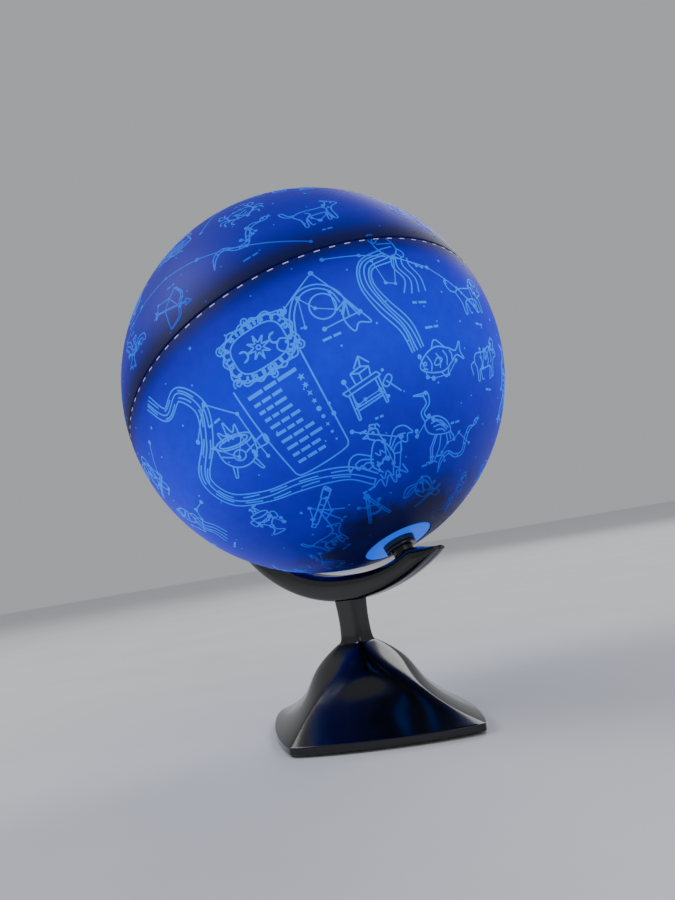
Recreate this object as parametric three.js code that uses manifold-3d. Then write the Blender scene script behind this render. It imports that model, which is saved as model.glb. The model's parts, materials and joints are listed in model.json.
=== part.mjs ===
// Lit desktop globe on a tilted axis, held by a half-round arm on a flared foot.
// Millimetres, +Z up. The working frame has its origin on the table under the globe's centre,
// with +X towards the side that the south pole leans to. The whole object is then moved along X
// so that its origin is the middle of its footprint box.
import * as THREE from 'three';
import { mergeVertices } from 'three/addons/utils/BufferGeometryUtils.js';
import Module from 'manifold-3d';

const wasm = await Module();
wasm.setup();

// ---- driving dimensions ------------------------------------------------------------------
const globeRadius = 115;
const globeWall = 1.6;
const axisTilt = THREE.MathUtils.degToRad(23.5);
const seamGap = 0.9;              // open line between the two half shells

const gap = 0.3;                  // between pieces that touch
const runningGap = 0.35;          // between a turning piece and what it turns on

const equatorRingWall = 1.8;
const equatorRingHeight = 12;

const poleRingRadius = 19.9;      // bright ring round the south pole
const poleRingThickness = 2.4;
const poleRingLip = 3.6;          // how far its inner lip reaches under the shell
const poleRingLipThickness = 1.8;

const stemRadius = 6;
const stemBoreRadius = 2.3;
const stemNeckRadius = 5;         // where the arm grips the stem
const stemFlangeRadius = 6.4;
const stemFlangeThickness = 1.4;
const stemInsideLength = 27;      // from the globe's surface to the stem's upper end
const bushWall = 2.65;
const bushInsideLength = 8;
const collarThickness = 1.6;

const northPinRadius = 3;
const northHoleRadius = 8.3;
const northBushLip = 4;
const northPinInsideLength = 11;
const northCapRadius = 6;
const northCapHeight = 4;

const armClearance = 2.7;         // from the globe's surface to the inside of the arm where it is thickest
const armThickness = 15;
const armReach = armClearance + armThickness; // from the globe's surface to the arm's outer edge
const armEndThickness = 12;       // where it grips the stem and the pin
const armWidth = 15;
const armTipAngle = THREE.MathUtils.degToRad(9.7);      // how far it runs past the axis
const armTaperAngle = THREE.MathUtils.degToRad(23.5);   // over which it thins towards an end
const armTipThickness = 2.4;
const armTipWidth = 9;
const armSquareness = 4;          // exponent of its rounded section
const armHollowRadius = 4.3;
const armScrewAngles = [8, 64, 120].map(THREE.MathUtils.degToRad);

const footHeight = 47.5;
const footClearance = 1.5;        // height of the rim's lower edge above the table
const footRimHeight = 3.8;
const footHalfLength = 80;        // to the corner along X
const footHalfWidth = 60.5;       // to the corner along Y
const footTopHalfLength = 9.5;
const footTopHalfWidth = 7;
const footWall = 1.8;
const footRoof = 5.5;
const footSquarenessBottom = 1.22;   // exponent of the section: 1 is a diamond, 2 an ellipse
const footSquarenessTop = 6;
const footBrim = 0.22;            // share of its reach along X that it gains only at the brim
const footFlareWidth = 0.95;      // exponent of the flare along Y

const baseThickness = 2.4;
const baseRecess = 0.6;           // above the rim's lower edge
const rubberFootRadius = 5;
const rubberFootInset = 11;       // from the foot's corner to the rubber foot's centre
const baseScrewInset = 26;        // from the foot's corner to the base screw's centre
const postRadius = 3.6;
const postBoreDepth = 9;

const screwRadius = 1.5;
const screwHeadRadius = 3;
const screwHeadHeight = 1.3;
const headRecess = 0.1;           // of a head below the face it is let into
const boltRadius = 2;
const boltHeadRadius = 3.6;
const boltHeadHeight = 3;
const boltInArm = 9;
const boltOffset = -3.6;          // along X, beside the lead

const neckHeight = 23.4;           // from the foot's top to the arm's outer edge
const neckHalfLength = 8.5;
const neckHalfWidth = 6.5;
const neckWaist = 0.07;           // share by which the neck is drawn in at its middle
const neckSquareness = 6;

const cellRadius = 5.25;
const cellLength = 44.5;
const cellPitch = 2 * cellRadius + 0.5;
const cellCount = 3;
const terminalRadius = 1.9;
const terminalHeight = 0.8;
const trayCentre = new THREE.Vector2(3, -4);
const trayWall = 1.4;
const trayFlange = 2.6;
const contactThickness = 0.8;
const contactHeight = 8;
const doorThickness = 1.9;
const doorClearance = 0.4;
const ballastHalfLength = 17;
const ballastHalfWidth = 12;
const ballastThickness = 7;

const buttonHeight = 20;          // of the button's centre above the table
const buttonDirection = THREE.MathUtils.degToRad(135);
const buttonRadius = 5.5;
const buttonProud = 1.4;
const buttonDepth = 2.6;
const buttonTravel = 1.2;
const bezelWall = 1.7;
const bezelFlange = 1.3;
const bezelFlangeThickness = 1.1;
const bezelLength = 6.5;
const switchSide = 7.4;
const switchHeight = 5;

const lampHolderRadius = 14;
const lampHolderHeight = 20;
const lampSocketDepth = 8;
const lampHolderWall = 1.6;
const lampBoardThickness = 1.2;
const ledRadius = 1.8;
const ledHeight = 1.7;
const ledCircle = 7;
const ledCount = 3;
const diffuserWall = 1.2;
const diffuserSkirt = 5;

const leadRadius = 1.3;
const leadChannelRadius = 2;
const leadOffset = 4.2;           // along X where it passes up the neck
const leadDepthInArm = 4.1;       // from the arm's outer edge to the lead

// ---- materials ---------------------------------------------------------------------------
const material = (color, roughness, metalness) =>
  new THREE.MeshStandardMaterial({ color, roughness, metalness });
const glowing = (color, emissive) =>
  new THREE.MeshStandardMaterial({ color, emissive, roughness: 0.45, metalness: 0 });
const blackGloss = material(0x0c0d11, 0.25, 0);
const blackMatte = material(0x15161a, 0.6, 0);
const globeBlue = glowing(0x0b3fae, 0x0538b8);
const ringBlue = glowing(0x1f8cf0, 0x0a7cf0);
const diffuserWhite = glowing(0xe8eef6, 0x6fa8ff);
const ledBlue = glowing(0xd8e6ff, 0x3f8cff);
const rubberBlack = material(0x1b1b1c, 0.9, 0);
const steel = material(0xb9bcc0, 0.35, 1);
const boardGreen = material(0x1d5b38, 0.5, 0);
const cellWrap = material(0x2b5f9a, 0.4, 0);
const leadGrey = material(0x2a2b2f, 0.6, 0);

// ---- solids ------------------------------------------------------------------------------
// A closed geometry as a solid that can be cut and joined. Triangles that collapse where
// vertices merge, such as at a pole, are dropped.
function solid(geometry) {
  const bare = geometry.clone();
  bare.deleteAttribute('normal');
  bare.deleteAttribute('uv');
  const merged = mergeVertices(bare, 1e-4);
  const index = merged.index.array;
  const kept = [];
  for (let i = 0; i < index.length; i += 3) {
    const [a, b, c] = [index[i], index[i + 1], index[i + 2]];
    if (a !== b && b !== c && c !== a) {
      kept.push(a, b, c);
    }
  }
  return new wasm.Manifold(new wasm.Mesh({
    numProp: 3,
    vertProperties: new Float32Array(merged.attributes.position.array),
    triVerts: new Uint32Array(kept),
  }));
}

function geometryOf(manifold) {
  const mesh = manifold.getMesh();
  const geometry = new THREE.BufferGeometry();
  geometry.setAttribute('position', new THREE.BufferAttribute(mesh.vertProperties, 3));
  geometry.setIndex(new THREE.BufferAttribute(mesh.triVerts, 1));
  return geometry;
}

// A straight round bar along Z from z0 to z1.
function bar(radius, z0, z1, x = 0, y = 0, segments = 20) {
  return new THREE.CylinderGeometry(radius, radius, z1 - z0, segments)
    .rotateX(Math.PI / 2)
    .translate(x, y, (z0 + z1) / 2);
}

// A box from its middle in X and Y, its half sizes and its two heights.
function block(halfX, halfY, z0, z1, x = 0, y = 0) {
  return new THREE.BoxGeometry(2 * halfX, 2 * halfY, z1 - z0).translate(x, y, (z0 + z1) / 2);
}

// A closed outline of [radius, height] pairs turned about Z: up its outside, down its inside.
function turned(outline, segments = 32) {
  const points = outline.map(([r, z]) => new THREE.Vector2(r, z));
  if (outline[0][0] > 0) {
    points.push(points[0].clone());
  }
  return new THREE.LatheGeometry(points, segments).rotateX(Math.PI / 2);
}

// A tube of washer section.
const washer = (inner, outer, z0, z1, segments) =>
  turned([[inner, z0], [outer, z0], [outer, z1], [inner, z1]], segments);

// A closed skin through one section per level: point(level, angle) gives the section's edge,
// and the two ends are closed flat to the middle of their sections.
function lofted(sides, levels, point) {
  const steps = levels.length - 1;
  const geometry = new THREE.CylinderGeometry(1, 1, 1, sides, steps);
  const position = geometry.attributes.position;
  for (let i = 0; i < position.count; i += 1) {
    const x = position.getX(i);
    const z = position.getZ(i);
    const level = levels[Math.round((position.getY(i) + 0.5) * steps)];
    const angle = Math.atan2(-z, x);
    const edge = point(level, angle);
    if (Math.hypot(x, z) < 0.5) {
      edge.add(point(level, angle + Math.PI)).multiplyScalar(0.5);
    }
    position.setXYZ(i, edge.x, edge.y, edge.z);
  }
  return geometry;
}

const steps = (from, to, count) =>
  Array.from({ length: count + 1 }, (_, i) => from + ((to - from) * i) / count);

// Distance to the edge of the rounded section |x/a|^n + |y/b|^n = 1 in a direction.
function sectionRadius(a, b, n, angle) {
  const c = Math.abs(Math.cos(angle)) / a;
  const s = Math.abs(Math.sin(angle)) / b;
  return (c ** n + s ** n) ** (-1 / n);
}

// ---- the frame of the tilted axis ----------------------------------------------------------
const globeCentreHeight = footHeight + neckHeight + armReach + globeRadius;
const axisFrame = new THREE.Matrix4()
  .makeRotationY(-axisTilt)
  .setPosition(0, 0, globeCentreHeight);
const onAxis = (geometry) => geometry.clone().applyMatrix4(axisFrame);

const armOuter = globeRadius + armReach;
const armInnerAtPole = armOuter - armEndThickness;
const originShift = (armOuter - globeRadius) / 2;

// ---- foot ----------------------------------------------------------------------------------
const rimTop = footClearance + footRimHeight;

// Half length, half width and squareness of the foot's outside at a height.
function footSection(z) {
  const s = THREE.MathUtils.clamp((footHeight - z) / (footHeight - rimTop), 0, 1);
  return {
    a: footTopHalfLength
      + (footHalfLength - footTopHalfLength) * ((1 - footBrim) * s + footBrim * s ** 6),
    b: footTopHalfWidth + (footHalfWidth - footTopHalfWidth) * s ** footFlareWidth,
    n: footSquarenessBottom + (footSquarenessTop - footSquarenessBottom) * (1 - s) ** 4,
  };
}

function footPoint(z, angle, inset = 0, drop = 0) {
  const { a, b, n } = footSection(z + drop);
  const r = sectionRadius(a - inset, b - inset, n, angle);
  return new THREE.Vector3(r * Math.cos(angle), r * Math.sin(angle), z);
}

const footSides = 40;
const footOutside = solid(lofted(
  footSides,
  [footClearance, ...steps(rimTop, footHeight, 8)],
  (z, angle) => footPoint(z, angle),
));
const baseBottom = footClearance + baseRecess;
const baseTop = baseBottom + baseThickness;
const postBottom = baseTop + gap;

// Upright round the base plate, then a wall's thickness in from the flare and below it.
const footInside = solid(lofted(
  footSides,
  [0, postBottom, ...steps(rimTop, footHeight - footRoof, 5)],
  (z, angle) => (z > postBottom
    ? footPoint(z, angle, footWall, footWall)
    : footPoint(footClearance, angle, footWall).setZ(z)),
));

// The places of the four corners' screws or rubber feet, a set distance in from the corners.
const cornerPlaces = (inset) => [
  [footHalfLength - inset, 0],
  [0, footHalfWidth - inset],
  [inset - footHalfLength, 0],
  [0, inset - footHalfWidth],
];
const baseScrewPlaces = cornerPlaces(baseScrewInset);
const rubberFootPlaces = cornerPlaces(rubberFootInset);

// The button's axis is square to the foot's outside at the button's centre.
function footNormal(z, angle) {
  const small = 0.5;
  const up = footPoint(z + small, angle).sub(footPoint(z - small, angle));
  const round = footPoint(z, angle + 0.01).sub(footPoint(z, angle - 0.01));
  return round.cross(up).normalize();
}
const buttonCentre = footPoint(buttonHeight, buttonDirection);
const buttonNormal = footNormal(buttonHeight, buttonDirection);
const buttonTurn = new THREE.Quaternion()
  .setFromUnitVectors(new THREE.Vector3(0, 0, 1), buttonNormal);
const atButton = (geometry) => geometry.clone().applyMatrix4(
  new THREE.Matrix4().compose(buttonCentre, buttonTurn, new THREE.Vector3(1, 1, 1)),
);
const seatDepth = bezelFlangeThickness - 0.2;
const bezelInner = buttonRadius + runningGap;
const bezelOuter = bezelInner + bezelWall;

function makeFootShell() {
  let shell = footOutside.subtract(footInside);
  for (const [x, y] of baseScrewPlaces) {
    const post = solid(bar(postRadius, postBottom, footHeight / 2, x, y)).intersect(footOutside);
    const bore = solid(bar(screwRadius + gap, 0, postBottom + postBoreDepth, x, y));
    shell = shell.add(post).subtract(bore);
  }
  shell = shell
    .subtract(solid(bar(boltRadius + gap, 0, footHeight + 1, boltOffset)))
    .subtract(solid(bar(leadChannelRadius, 0, footHeight + 1, leadOffset)))
    .subtract(solid(atButton(bar(bezelOuter + bezelFlange + gap, -seatDepth, 10, 0, 0, 32))))
    .subtract(solid(atButton(bar(bezelOuter + gap, -10, 10, 0, 0, 32))));
  return geometryOf(shell);
}

const trayInnerHalfX = cellLength / 2 + 1.75;
const trayInnerHalfY = ((cellCount - 1) / 2) * cellPitch + cellRadius + 0.55;
const doorHalfX = trayInnerHalfX + 0.6;
const doorHalfY = trayInnerHalfY + 0.8;
const doorBottom = baseBottom + headRecess;
const doorTop = doorBottom + doorThickness;
const cellAxisHeight = doorTop + 0.45 + cellRadius;
const trayRoofBottom = cellAxisHeight + cellRadius + 0.6;
const trayTop = trayRoofBottom + trayWall;

function makeFootBase() {
  const edge = footWall + gap + 0.1;
  let plate = solid(lofted(footSides, [baseBottom, baseTop],
    (z, angle) => footPoint(footClearance, angle, edge).setZ(z)));
  plate = plate.subtract(solid(block(
    doorHalfX + doorClearance,
    doorHalfY + doorClearance,
    0,
    baseTop + 1,
    trayCentre.x,
    trayCentre.y,
  )));
  for (const [x, y] of baseScrewPlaces) {
    plate = plate
      .subtract(solid(bar(screwRadius + gap, 0, baseTop + 1, x, y)))
      .subtract(solid(bar(screwHeadRadius + gap, 0, baseBottom + headRecess + screwHeadHeight + gap, x, y)));
  }
  return geometryOf(plate);
}

// A screw with its head down at z0 and its shaft going up.
function screw(z0, length, x, y) {
  const head = solid(bar(screwHeadRadius, z0, z0 + screwHeadHeight, x, y));
  const slot = solid(block(screwHeadRadius + 1, 0.4, z0 - 1, z0 + 0.6, x, y));
  const shaft = solid(bar(screwRadius, z0 + screwHeadHeight / 2, z0 + length, x, y, 12));
  return geometryOf(head.add(shaft).subtract(slot));
}

function makeTray() {
  const halfX = trayInnerHalfX + trayWall;
  const halfY = trayInnerHalfY + trayWall;
  const { x, y } = trayCentre;
  const box = solid(block(halfX, halfY, postBottom, trayTop, x, y))
    .add(solid(block(halfX + trayFlange, halfY + trayFlange, postBottom, postBottom + trayWall, x, y)))
    .subtract(solid(block(trayInnerHalfX, trayInnerHalfY, 0, trayRoofBottom, x, y)));
  return geometryOf(box);
}

function makeCell(row) {
  const y = trayCentre.y + (row - (cellCount - 1) / 2) * cellPitch;
  const half = cellLength / 2;
  const body = turned([
    [0, -half],
    [cellRadius - 0.4, -half],
    [cellRadius, -half + 0.6],
    [cellRadius, half - terminalHeight - 0.6],
    [cellRadius - 0.6, half - terminalHeight],
    [terminalRadius, half - terminalHeight],
    [terminalRadius, half],
    [0, half],
  ], 14);
  const turn = row % 2 === 0 ? Math.PI / 2 : -Math.PI / 2;
  return geometryOf(solid(body.rotateY(turn).translate(trayCentre.x, y, cellAxisHeight)));
}

function makeContact(side) {
  const x = trayCentre.x + side * (cellLength / 2 + 0.45 + contactThickness / 2);
  return block(
    contactThickness / 2,
    trayInnerHalfY - gap,
    cellAxisHeight - contactHeight / 2,
    cellAxisHeight + contactHeight / 2,
    x,
    trayCentre.y,
  );
}

const ballastBottom = trayTop + gap;

// ---- neck ----------------------------------------------------------------------------------
const armBottom = globeCentreHeight - armOuter;

function makeNeck() {
  const bottom = footHeight + gap;
  const top = armBottom + 4;
  const outside = lofted(24, steps(bottom, top, 5), (z, angle) => {
    const draw = 1 - neckWaist * Math.sin((Math.PI * (z - bottom)) / (top - bottom));
    const r = sectionRadius(neckHalfLength * draw, neckHalfWidth * draw, neckSquareness, angle);
    return new THREE.Vector3(r * Math.cos(angle), r * Math.sin(angle), z);
  });
  const seat = solid(new THREE.CylinderGeometry(armOuter + gap, armOuter + gap, 4 * armWidth, 120)
    .translate(0, 0, globeCentreHeight));
  return geometryOf(solid(outside)
    .subtract(seat)
    .subtract(solid(bar(boltRadius + gap, 0, globeCentreHeight, boltOffset)))
    .subtract(solid(bar(leadChannelRadius, 0, globeCentreHeight, leadOffset))));
}

const boltHeadTop = footHeight - footRoof - 0.4;
const boltTop = armBottom + boltInArm;

function makeNeckBolt() {
  const head = solid(bar(boltHeadRadius, boltHeadTop - boltHeadHeight, boltHeadTop, boltOffset, 0, 6));
  const shaft = solid(bar(boltRadius, boltHeadTop - 1, boltTop, boltOffset, 0, 14));
  return geometryOf(head.add(shaft));
}

// ---- arm -----------------------------------------------------------------------------------
// Angles round the arm are counted from straight down, towards -X.
const southAngle = -axisTilt;
const northAngle = Math.PI - axisTilt;

// How far an angle lies past the nearer pole's axis, as a share of the tip's angle.
const pastPole = (angle) => Math.max(southAngle - angle, angle - northAngle) / armTipAngle;

function armSection(angle) {
  const past = pastPole(angle);
  const tip = THREE.MathUtils.clamp((past - 0.34) / 0.66, 0, 1);
  const inward = THREE.MathUtils.smoothstep((-past * armTipAngle) / armTaperAngle, 0, 1);
  const full = armEndThickness + (armThickness - armEndThickness) * inward;
  return {
    thickness: full + (armTipThickness - full) * tip,
    width: armWidth + (armTipWidth - armWidth) * tip ** 2,
  };
}

const aroundArm = (radius, y, angle) => new THREE.Vector3(
  -radius * Math.sin(angle),
  y,
  globeCentreHeight - radius * Math.cos(angle),
);

const power = (value, exponent) => Math.sign(value) * Math.abs(value) ** exponent;

function armEnvelope() {
  const angles = steps(southAngle - armTipAngle, northAngle + armTipAngle, 50);
  return lofted(12, angles, (angle, around) => {
    const { thickness, width } = armSection(angle);
    const across = (width / 2) * power(Math.cos(around), 2 / armSquareness);
    const out = (thickness / 2) * power(Math.sin(around), 2 / armSquareness);
    return aroundArm(armOuter - thickness / 2 + out, across, angle);
  });
}

// A round channel inside the arm, along a stretch of its curve.
function armChannel(radius, depth, from, to, count) {
  return lofted(8, steps(from, to, count), (angle, around) => aroundArm(
    armOuter - depth + radius * Math.sin(around),
    radius * Math.cos(around),
    angle,
  ));
}

// A bar across the arm, along Y, at its mid thickness.
function acrossArm(radius, y0, y1, angle, segments) {
  const centre = aroundArm(armOuter - armThickness / 2, (y0 + y1) / 2, angle);
  return new THREE.CylinderGeometry(radius, radius, y1 - y0, segments)
    .translate(centre.x, centre.y, centre.z);
}

const armScrewHeadTop = armWidth / 2 - 1;
const armScrewTip = -armWidth / 2 + 2.4;
const stemFlangeBottom = -armInnerAtPole - 3.3;
const stemFlangeTop = stemFlangeBottom + stemFlangeThickness;
const leadPocketHalf = leadChannelRadius + 0.1;

function makeArmHalves() {
  let arm = solid(armEnvelope());
  const screwRoom = THREE.MathUtils.degToRad(4);
  const ends = [...armScrewAngles, northAngle - THREE.MathUtils.degToRad(3)];
  for (let i = 0; i + 1 < ends.length; i += 1) {
    const hollow = armChannel(armHollowRadius, armThickness / 2, ends[i] + screwRoom, ends[i + 1] - screwRoom, 6);
    arm = arm.subtract(solid(hollow));
  }
  for (const angle of armScrewAngles) {
    arm = arm
      .subtract(solid(acrossArm(screwRadius + gap, armScrewTip - gap, armWidth, angle, 14)))
      .subtract(solid(acrossArm(screwHeadRadius + gap, armScrewHeadTop - screwHeadHeight - gap, armWidth, angle, 20)));
  }
  const channelStart = -Math.asin(leadOffset / armOuter);
  arm = arm
    .subtract(solid(armChannel(leadChannelRadius, leadDepthInArm, southAngle, channelStart, 5)))
    .subtract(solid(block(3, leadPocketHalf, 0, armBottom + leadDepthInArm + leadChannelRadius, leadOffset + 1.1)))
    .subtract(solid(onAxis(block(4.5, leadPocketHalf, -armOuter + 2, stemFlangeBottom, -2.3))))
    .subtract(solid(onAxis(bar(stemFlangeRadius + gap, stemFlangeBottom - gap, stemFlangeTop + gap, 0, 0, 24))))
    .subtract(solid(onAxis(bar(stemNeckRadius + gap, stemFlangeBottom, -globeRadius, 0, 0, 24))))
    .subtract(solid(onAxis(bar(stemRadius + gap, -armInnerAtPole, -globeRadius, 0, 0, 24))))
    .subtract(solid(bar(boltRadius + gap, 0, boltTop + gap, boltOffset)))
    .subtract(solid(onAxis(bar(northPinRadius + gap, 0, 2 * globeRadius))));
  const far = 4 * globeRadius;
  const halfSpace = (side) => solid(
    new THREE.BoxGeometry(far, far, 2 * far).translate(0, side * (far / 2 + gap / 2), 0),
  );
  return [-1, 1].map((side) => geometryOf(arm.intersect(halfSpace(side))));
}

function makeArmScrew(angle) {
  const head = solid(acrossArm(screwHeadRadius, armScrewHeadTop - screwHeadHeight, armScrewHeadTop, angle, 20));
  const shaft = solid(acrossArm(screwRadius, armScrewTip, armScrewHeadTop - 0.5, angle, 12));
  const centre = aroundArm(armOuter - armThickness / 2, armScrewHeadTop, angle);
  const slot = solid(new THREE.BoxGeometry(2 * screwHeadRadius + 2, 1.2, 0.8)
    .translate(centre.x, centre.y, centre.z));
  return geometryOf(head.add(shaft).subtract(slot));
}

// ---- globe ---------------------------------------------------------------------------------
const sphereSegments = 36;
const latitudeSteps = 9;

// Half shell between the seam and a hole of a given radius round the pole. The outside and the
// inside are rings of equal latitude steps; side is +1 for the northern half.
function makeHemisphere(side, poleHole) {
  const arc = (radius) => {
    const from = Math.asin(seamGap / 2 / radius);
    const to = Math.acos(poleHole / radius);
    return steps(from, to, latitudeSteps)
      .map((latitude) => [radius * Math.cos(latitude), side * radius * Math.sin(latitude)]);
  };
  const outside = arc(globeRadius);
  const inside = arc(globeRadius - globeWall);
  const outline = side > 0
    ? [...outside, ...inside.reverse()]
    : [...outside.reverse(), ...inside];
  return geometryOf(solid(turned(outline, sphereSegments)));
}

const insideRadius = globeRadius - globeWall;
// The shell's first flat band leans in from the seam by half a latitude step.
const bandLean = Math.tan(Math.PI / 4 / latitudeSteps);
const equatorRingOuter = insideRadius - gap - (equatorRingHeight / 2) * bandLean;
const southHoleRadius = poleRingRadius + gap;
const ringFace = -Math.sqrt(globeRadius ** 2 - southHoleRadius ** 2);
const bushInner = stemRadius + runningGap;
const bushOuter = bushInner + bushWall;
const ringBore = bushOuter + gap;

function makePoleRing() {
  const lipRadius = southHoleRadius + poleRingLip;
  const lipFace = -Math.sqrt(insideRadius ** 2 - lipRadius ** 2) + gap + 0.1;
  const step = ringFace + poleRingThickness;
  return geometryOf(solid(turned([
    [ringBore, ringFace],
    [poleRingRadius, ringFace],
    [poleRingRadius, Math.max(lipFace, step)],
    [lipRadius, Math.max(lipFace, step)],
    [lipRadius, Math.max(lipFace, step) + poleRingLipThickness],
    [ringBore, Math.max(lipFace, step) + poleRingLipThickness],
  ], 36)));
}

const bushBottom = -globeRadius - 0.4;
const bushTop = -globeRadius + bushInsideLength;
const collarTop = bushBottom - 0.4;
const stemTop = -globeRadius + stemInsideLength;
const stemShoulder = -armInnerAtPole + gap;

function makeStem() {
  return geometryOf(solid(turned([
    [stemBoreRadius, stemFlangeBottom],
    [stemFlangeRadius, stemFlangeBottom],
    [stemFlangeRadius, stemFlangeTop],
    [stemNeckRadius, stemFlangeTop],
    [stemNeckRadius, stemShoulder],
    [stemRadius, stemShoulder],
    [stemRadius, stemTop],
    [stemBoreRadius, stemTop],
  ], 20)));
}

const northShellHeight = Math.sqrt(globeRadius ** 2 - northHoleRadius ** 2);
const northBushOuter = northHoleRadius - gap;
const northBushBore = northPinRadius + runningGap;

function makeNorthBush() {
  const lipRadius = northHoleRadius + northBushLip;
  const lipTop = Math.sqrt(insideRadius ** 2 - lipRadius ** 2) - gap - 0.1;
  return geometryOf(solid(turned([
    [northBushBore, lipTop - 4],
    [northBushOuter, lipTop - 4],
    [northBushOuter, lipTop - 2],
    [lipRadius, lipTop - 2],
    [lipRadius, lipTop],
    [northBushOuter, lipTop],
    [northBushOuter, northShellHeight + 0.7],
    [northBushBore, northShellHeight + 0.7],
  ], 20)));
}

const northPinTop = armOuter + 2;

function makeNorthCap() {
  const bottom = armOuter + gap;
  return geometryOf(solid(turned([
    [0, northPinTop + gap],
    [northPinRadius + gap, northPinTop + gap],
    [northPinRadius + gap, bottom],
    [northCapRadius, bottom],
    [northCapRadius, bottom + 0.4 * northCapHeight],
    [0.72 * northCapRadius, bottom + 0.85 * northCapHeight],
    [0, bottom + northCapHeight],
  ], 20)));
}

// ---- lamp ----------------------------------------------------------------------------------
const holderBottom = stemTop - lampSocketDepth;
const holderTop = holderBottom + lampHolderHeight;
const boardBottom = holderTop + gap;
const boardTop = boardBottom + lampBoardThickness;

function makeLampHolder() {
  const floorTop = stemTop + gap + lampHolderWall;
  return geometryOf(solid(turned([
    [stemRadius + gap, holderBottom],
    [stemRadius + gap + lampHolderWall, holderBottom],
    [lampHolderRadius, stemTop],
    [lampHolderRadius, holderTop],
    [lampHolderRadius - lampHolderWall, holderTop],
    [lampHolderRadius - lampHolderWall, floorTop],
    [stemBoreRadius, floorTop],
    [stemBoreRadius, stemTop + gap],
    [stemRadius + gap, stemTop + gap],
  ], 24)));
}

function makeDiffuser() {
  const inner = lampHolderRadius + gap;
  const outer = inner + diffuserWall;
  const rim = holderTop - diffuserSkirt;
  const dome = (radius) => steps(0, Math.PI / 2, 5)
    .map((angle) => [radius * Math.cos(angle), boardTop + radius * Math.sin(angle)]);
  return geometryOf(solid(turned([
    [0, boardTop + inner],
    ...dome(inner).slice(0, -1).reverse(),
    [inner, rim],
    [outer, rim],
    ...dome(outer).slice(0, -1),
    [0, boardTop + outer],
  ], 20)));
}

function makeLed(index) {
  const angle = (2 * Math.PI * index) / ledCount;
  const bottom = boardTop + 0.1;
  return geometryOf(solid(turned([
    [0, bottom],
    [ledRadius, bottom],
    [ledRadius, bottom + 0.6 * ledHeight],
    [0.7 * ledRadius, bottom + 0.9 * ledHeight],
    [0, bottom + ledHeight],
  ], 10).translate(ledCircle * Math.cos(angle), ledCircle * Math.sin(angle), 0)));
}

// ---- button --------------------------------------------------------------------------------
function makeBezel() {
  const seat = -seatDepth + gap;
  return geometryOf(solid(turned([
    [bezelInner, -bezelLength],
    [bezelOuter, -bezelLength],
    [bezelOuter, seat],
    [bezelOuter + bezelFlange, seat],
    [bezelOuter + bezelFlange, seat + bezelFlangeThickness * 0.6],
    [bezelOuter + bezelFlange - 0.5, seat + bezelFlangeThickness],
    [bezelInner, seat + bezelFlangeThickness],
  ], 24)));
}

function makeButton() {
  return geometryOf(solid(turned([
    [0, -buttonDepth],
    [buttonRadius, -buttonDepth],
    [buttonRadius, buttonProud - 0.5],
    [buttonRadius - 0.5, buttonProud],
    [0, buttonProud - 0.35],
  ], 20)));
}

const switchTop = -buttonDepth - buttonTravel - 0.4;
const switchBottom = switchTop - switchHeight;

// ---- leads ---------------------------------------------------------------------------------
const circle = (radius, sides) => {
  const shape = new THREE.Shape();
  shape.setFromPoints(steps(0, 2 * Math.PI, sides).slice(0, -1)
    .map((angle) => new THREE.Vector2(radius * Math.cos(angle), radius * Math.sin(angle))));
  return shape;
};

function lead(points, count) {
  const path = new THREE.CatmullRomCurve3(points, false, 'centripetal');
  return geometryOf(solid(new THREE.ExtrudeGeometry(circle(leadRadius, 8), {
    steps: count,
    bevelEnabled: false,
    extrudePath: path,
  })));
}

const offSurface = (depth, dx = 0, dy = 0) => new THREE.Vector3(dx, dy, -depth)
  .applyQuaternion(buttonTurn)
  .add(buttonCentre);
const leadStart = gap - switchBottom + 0.7;
const axisPoint = (x, z) => new THREE.Vector3(x, 0, z).applyMatrix4(axisFrame);

// From behind the switch, up the neck, round the arm and up the stem to the lamp.
function makeLampLead() {
  const arcRadius = armOuter - leadDepthInArm;
  const arc = steps(THREE.MathUtils.degToRad(-5), southAngle + THREE.MathUtils.degToRad(4), 6)
    .map((angle) => aroundArm(arcRadius, 0, angle));
  return lead([
    offSurface(leadStart, 0, -2),
    offSurface(leadStart + 1.5, 0, -2.2),
    new THREE.Vector3(-11, 13, 26),
    new THREE.Vector3(leadOffset - 2, 3, 31.5),
    new THREE.Vector3(leadOffset, 0, 36),
    new THREE.Vector3(leadOffset, 0, 39),
    new THREE.Vector3(leadOffset, 0, footHeight - 4),
    new THREE.Vector3(leadOffset, 0, footHeight + 12),
    new THREE.Vector3(leadOffset, 0, armBottom),
    new THREE.Vector3(leadOffset + 1, 0, armBottom + leadDepthInArm - 1.6),
    ...arc,
    axisPoint(-4.2, -arcRadius + 0.1),
    axisPoint(-0.9, -arcRadius + 1.5),
    axisPoint(0, stemFlangeBottom + 1),
    axisPoint(0, -globeRadius),
    axisPoint(0, stemTop + 6),
  ], 44);
}

// From the battery tray's side to the switch.
function makeBatteryLead() {
  const traySide = trayCentre.y + trayInnerHalfY + trayWall;
  return lead([
    new THREE.Vector3(trayCentre.x - 12, traySide + gap, cellAxisHeight),
    new THREE.Vector3(trayCentre.x - 12.5, traySide + 2.5, cellAxisHeight),
    offSurface(leadStart + 2.5, 0, 2),
    offSurface(leadStart, 0, 2),
  ], 10);
}

// ---- battery door --------------------------------------------------------------------------
const doorScrewPlace = [trayCentre.x, trayCentre.y - doorHalfY + 4.6];

function makeDoor() {
  const [x, y] = doorScrewPlace;
  return geometryOf(solid(block(doorHalfX, doorHalfY, doorBottom, doorTop, trayCentre.x, trayCentre.y))
    .subtract(solid(bar(screwHeadRadius - 0.4, 0, doorBottom + 1.3, x, y))));
}

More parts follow.
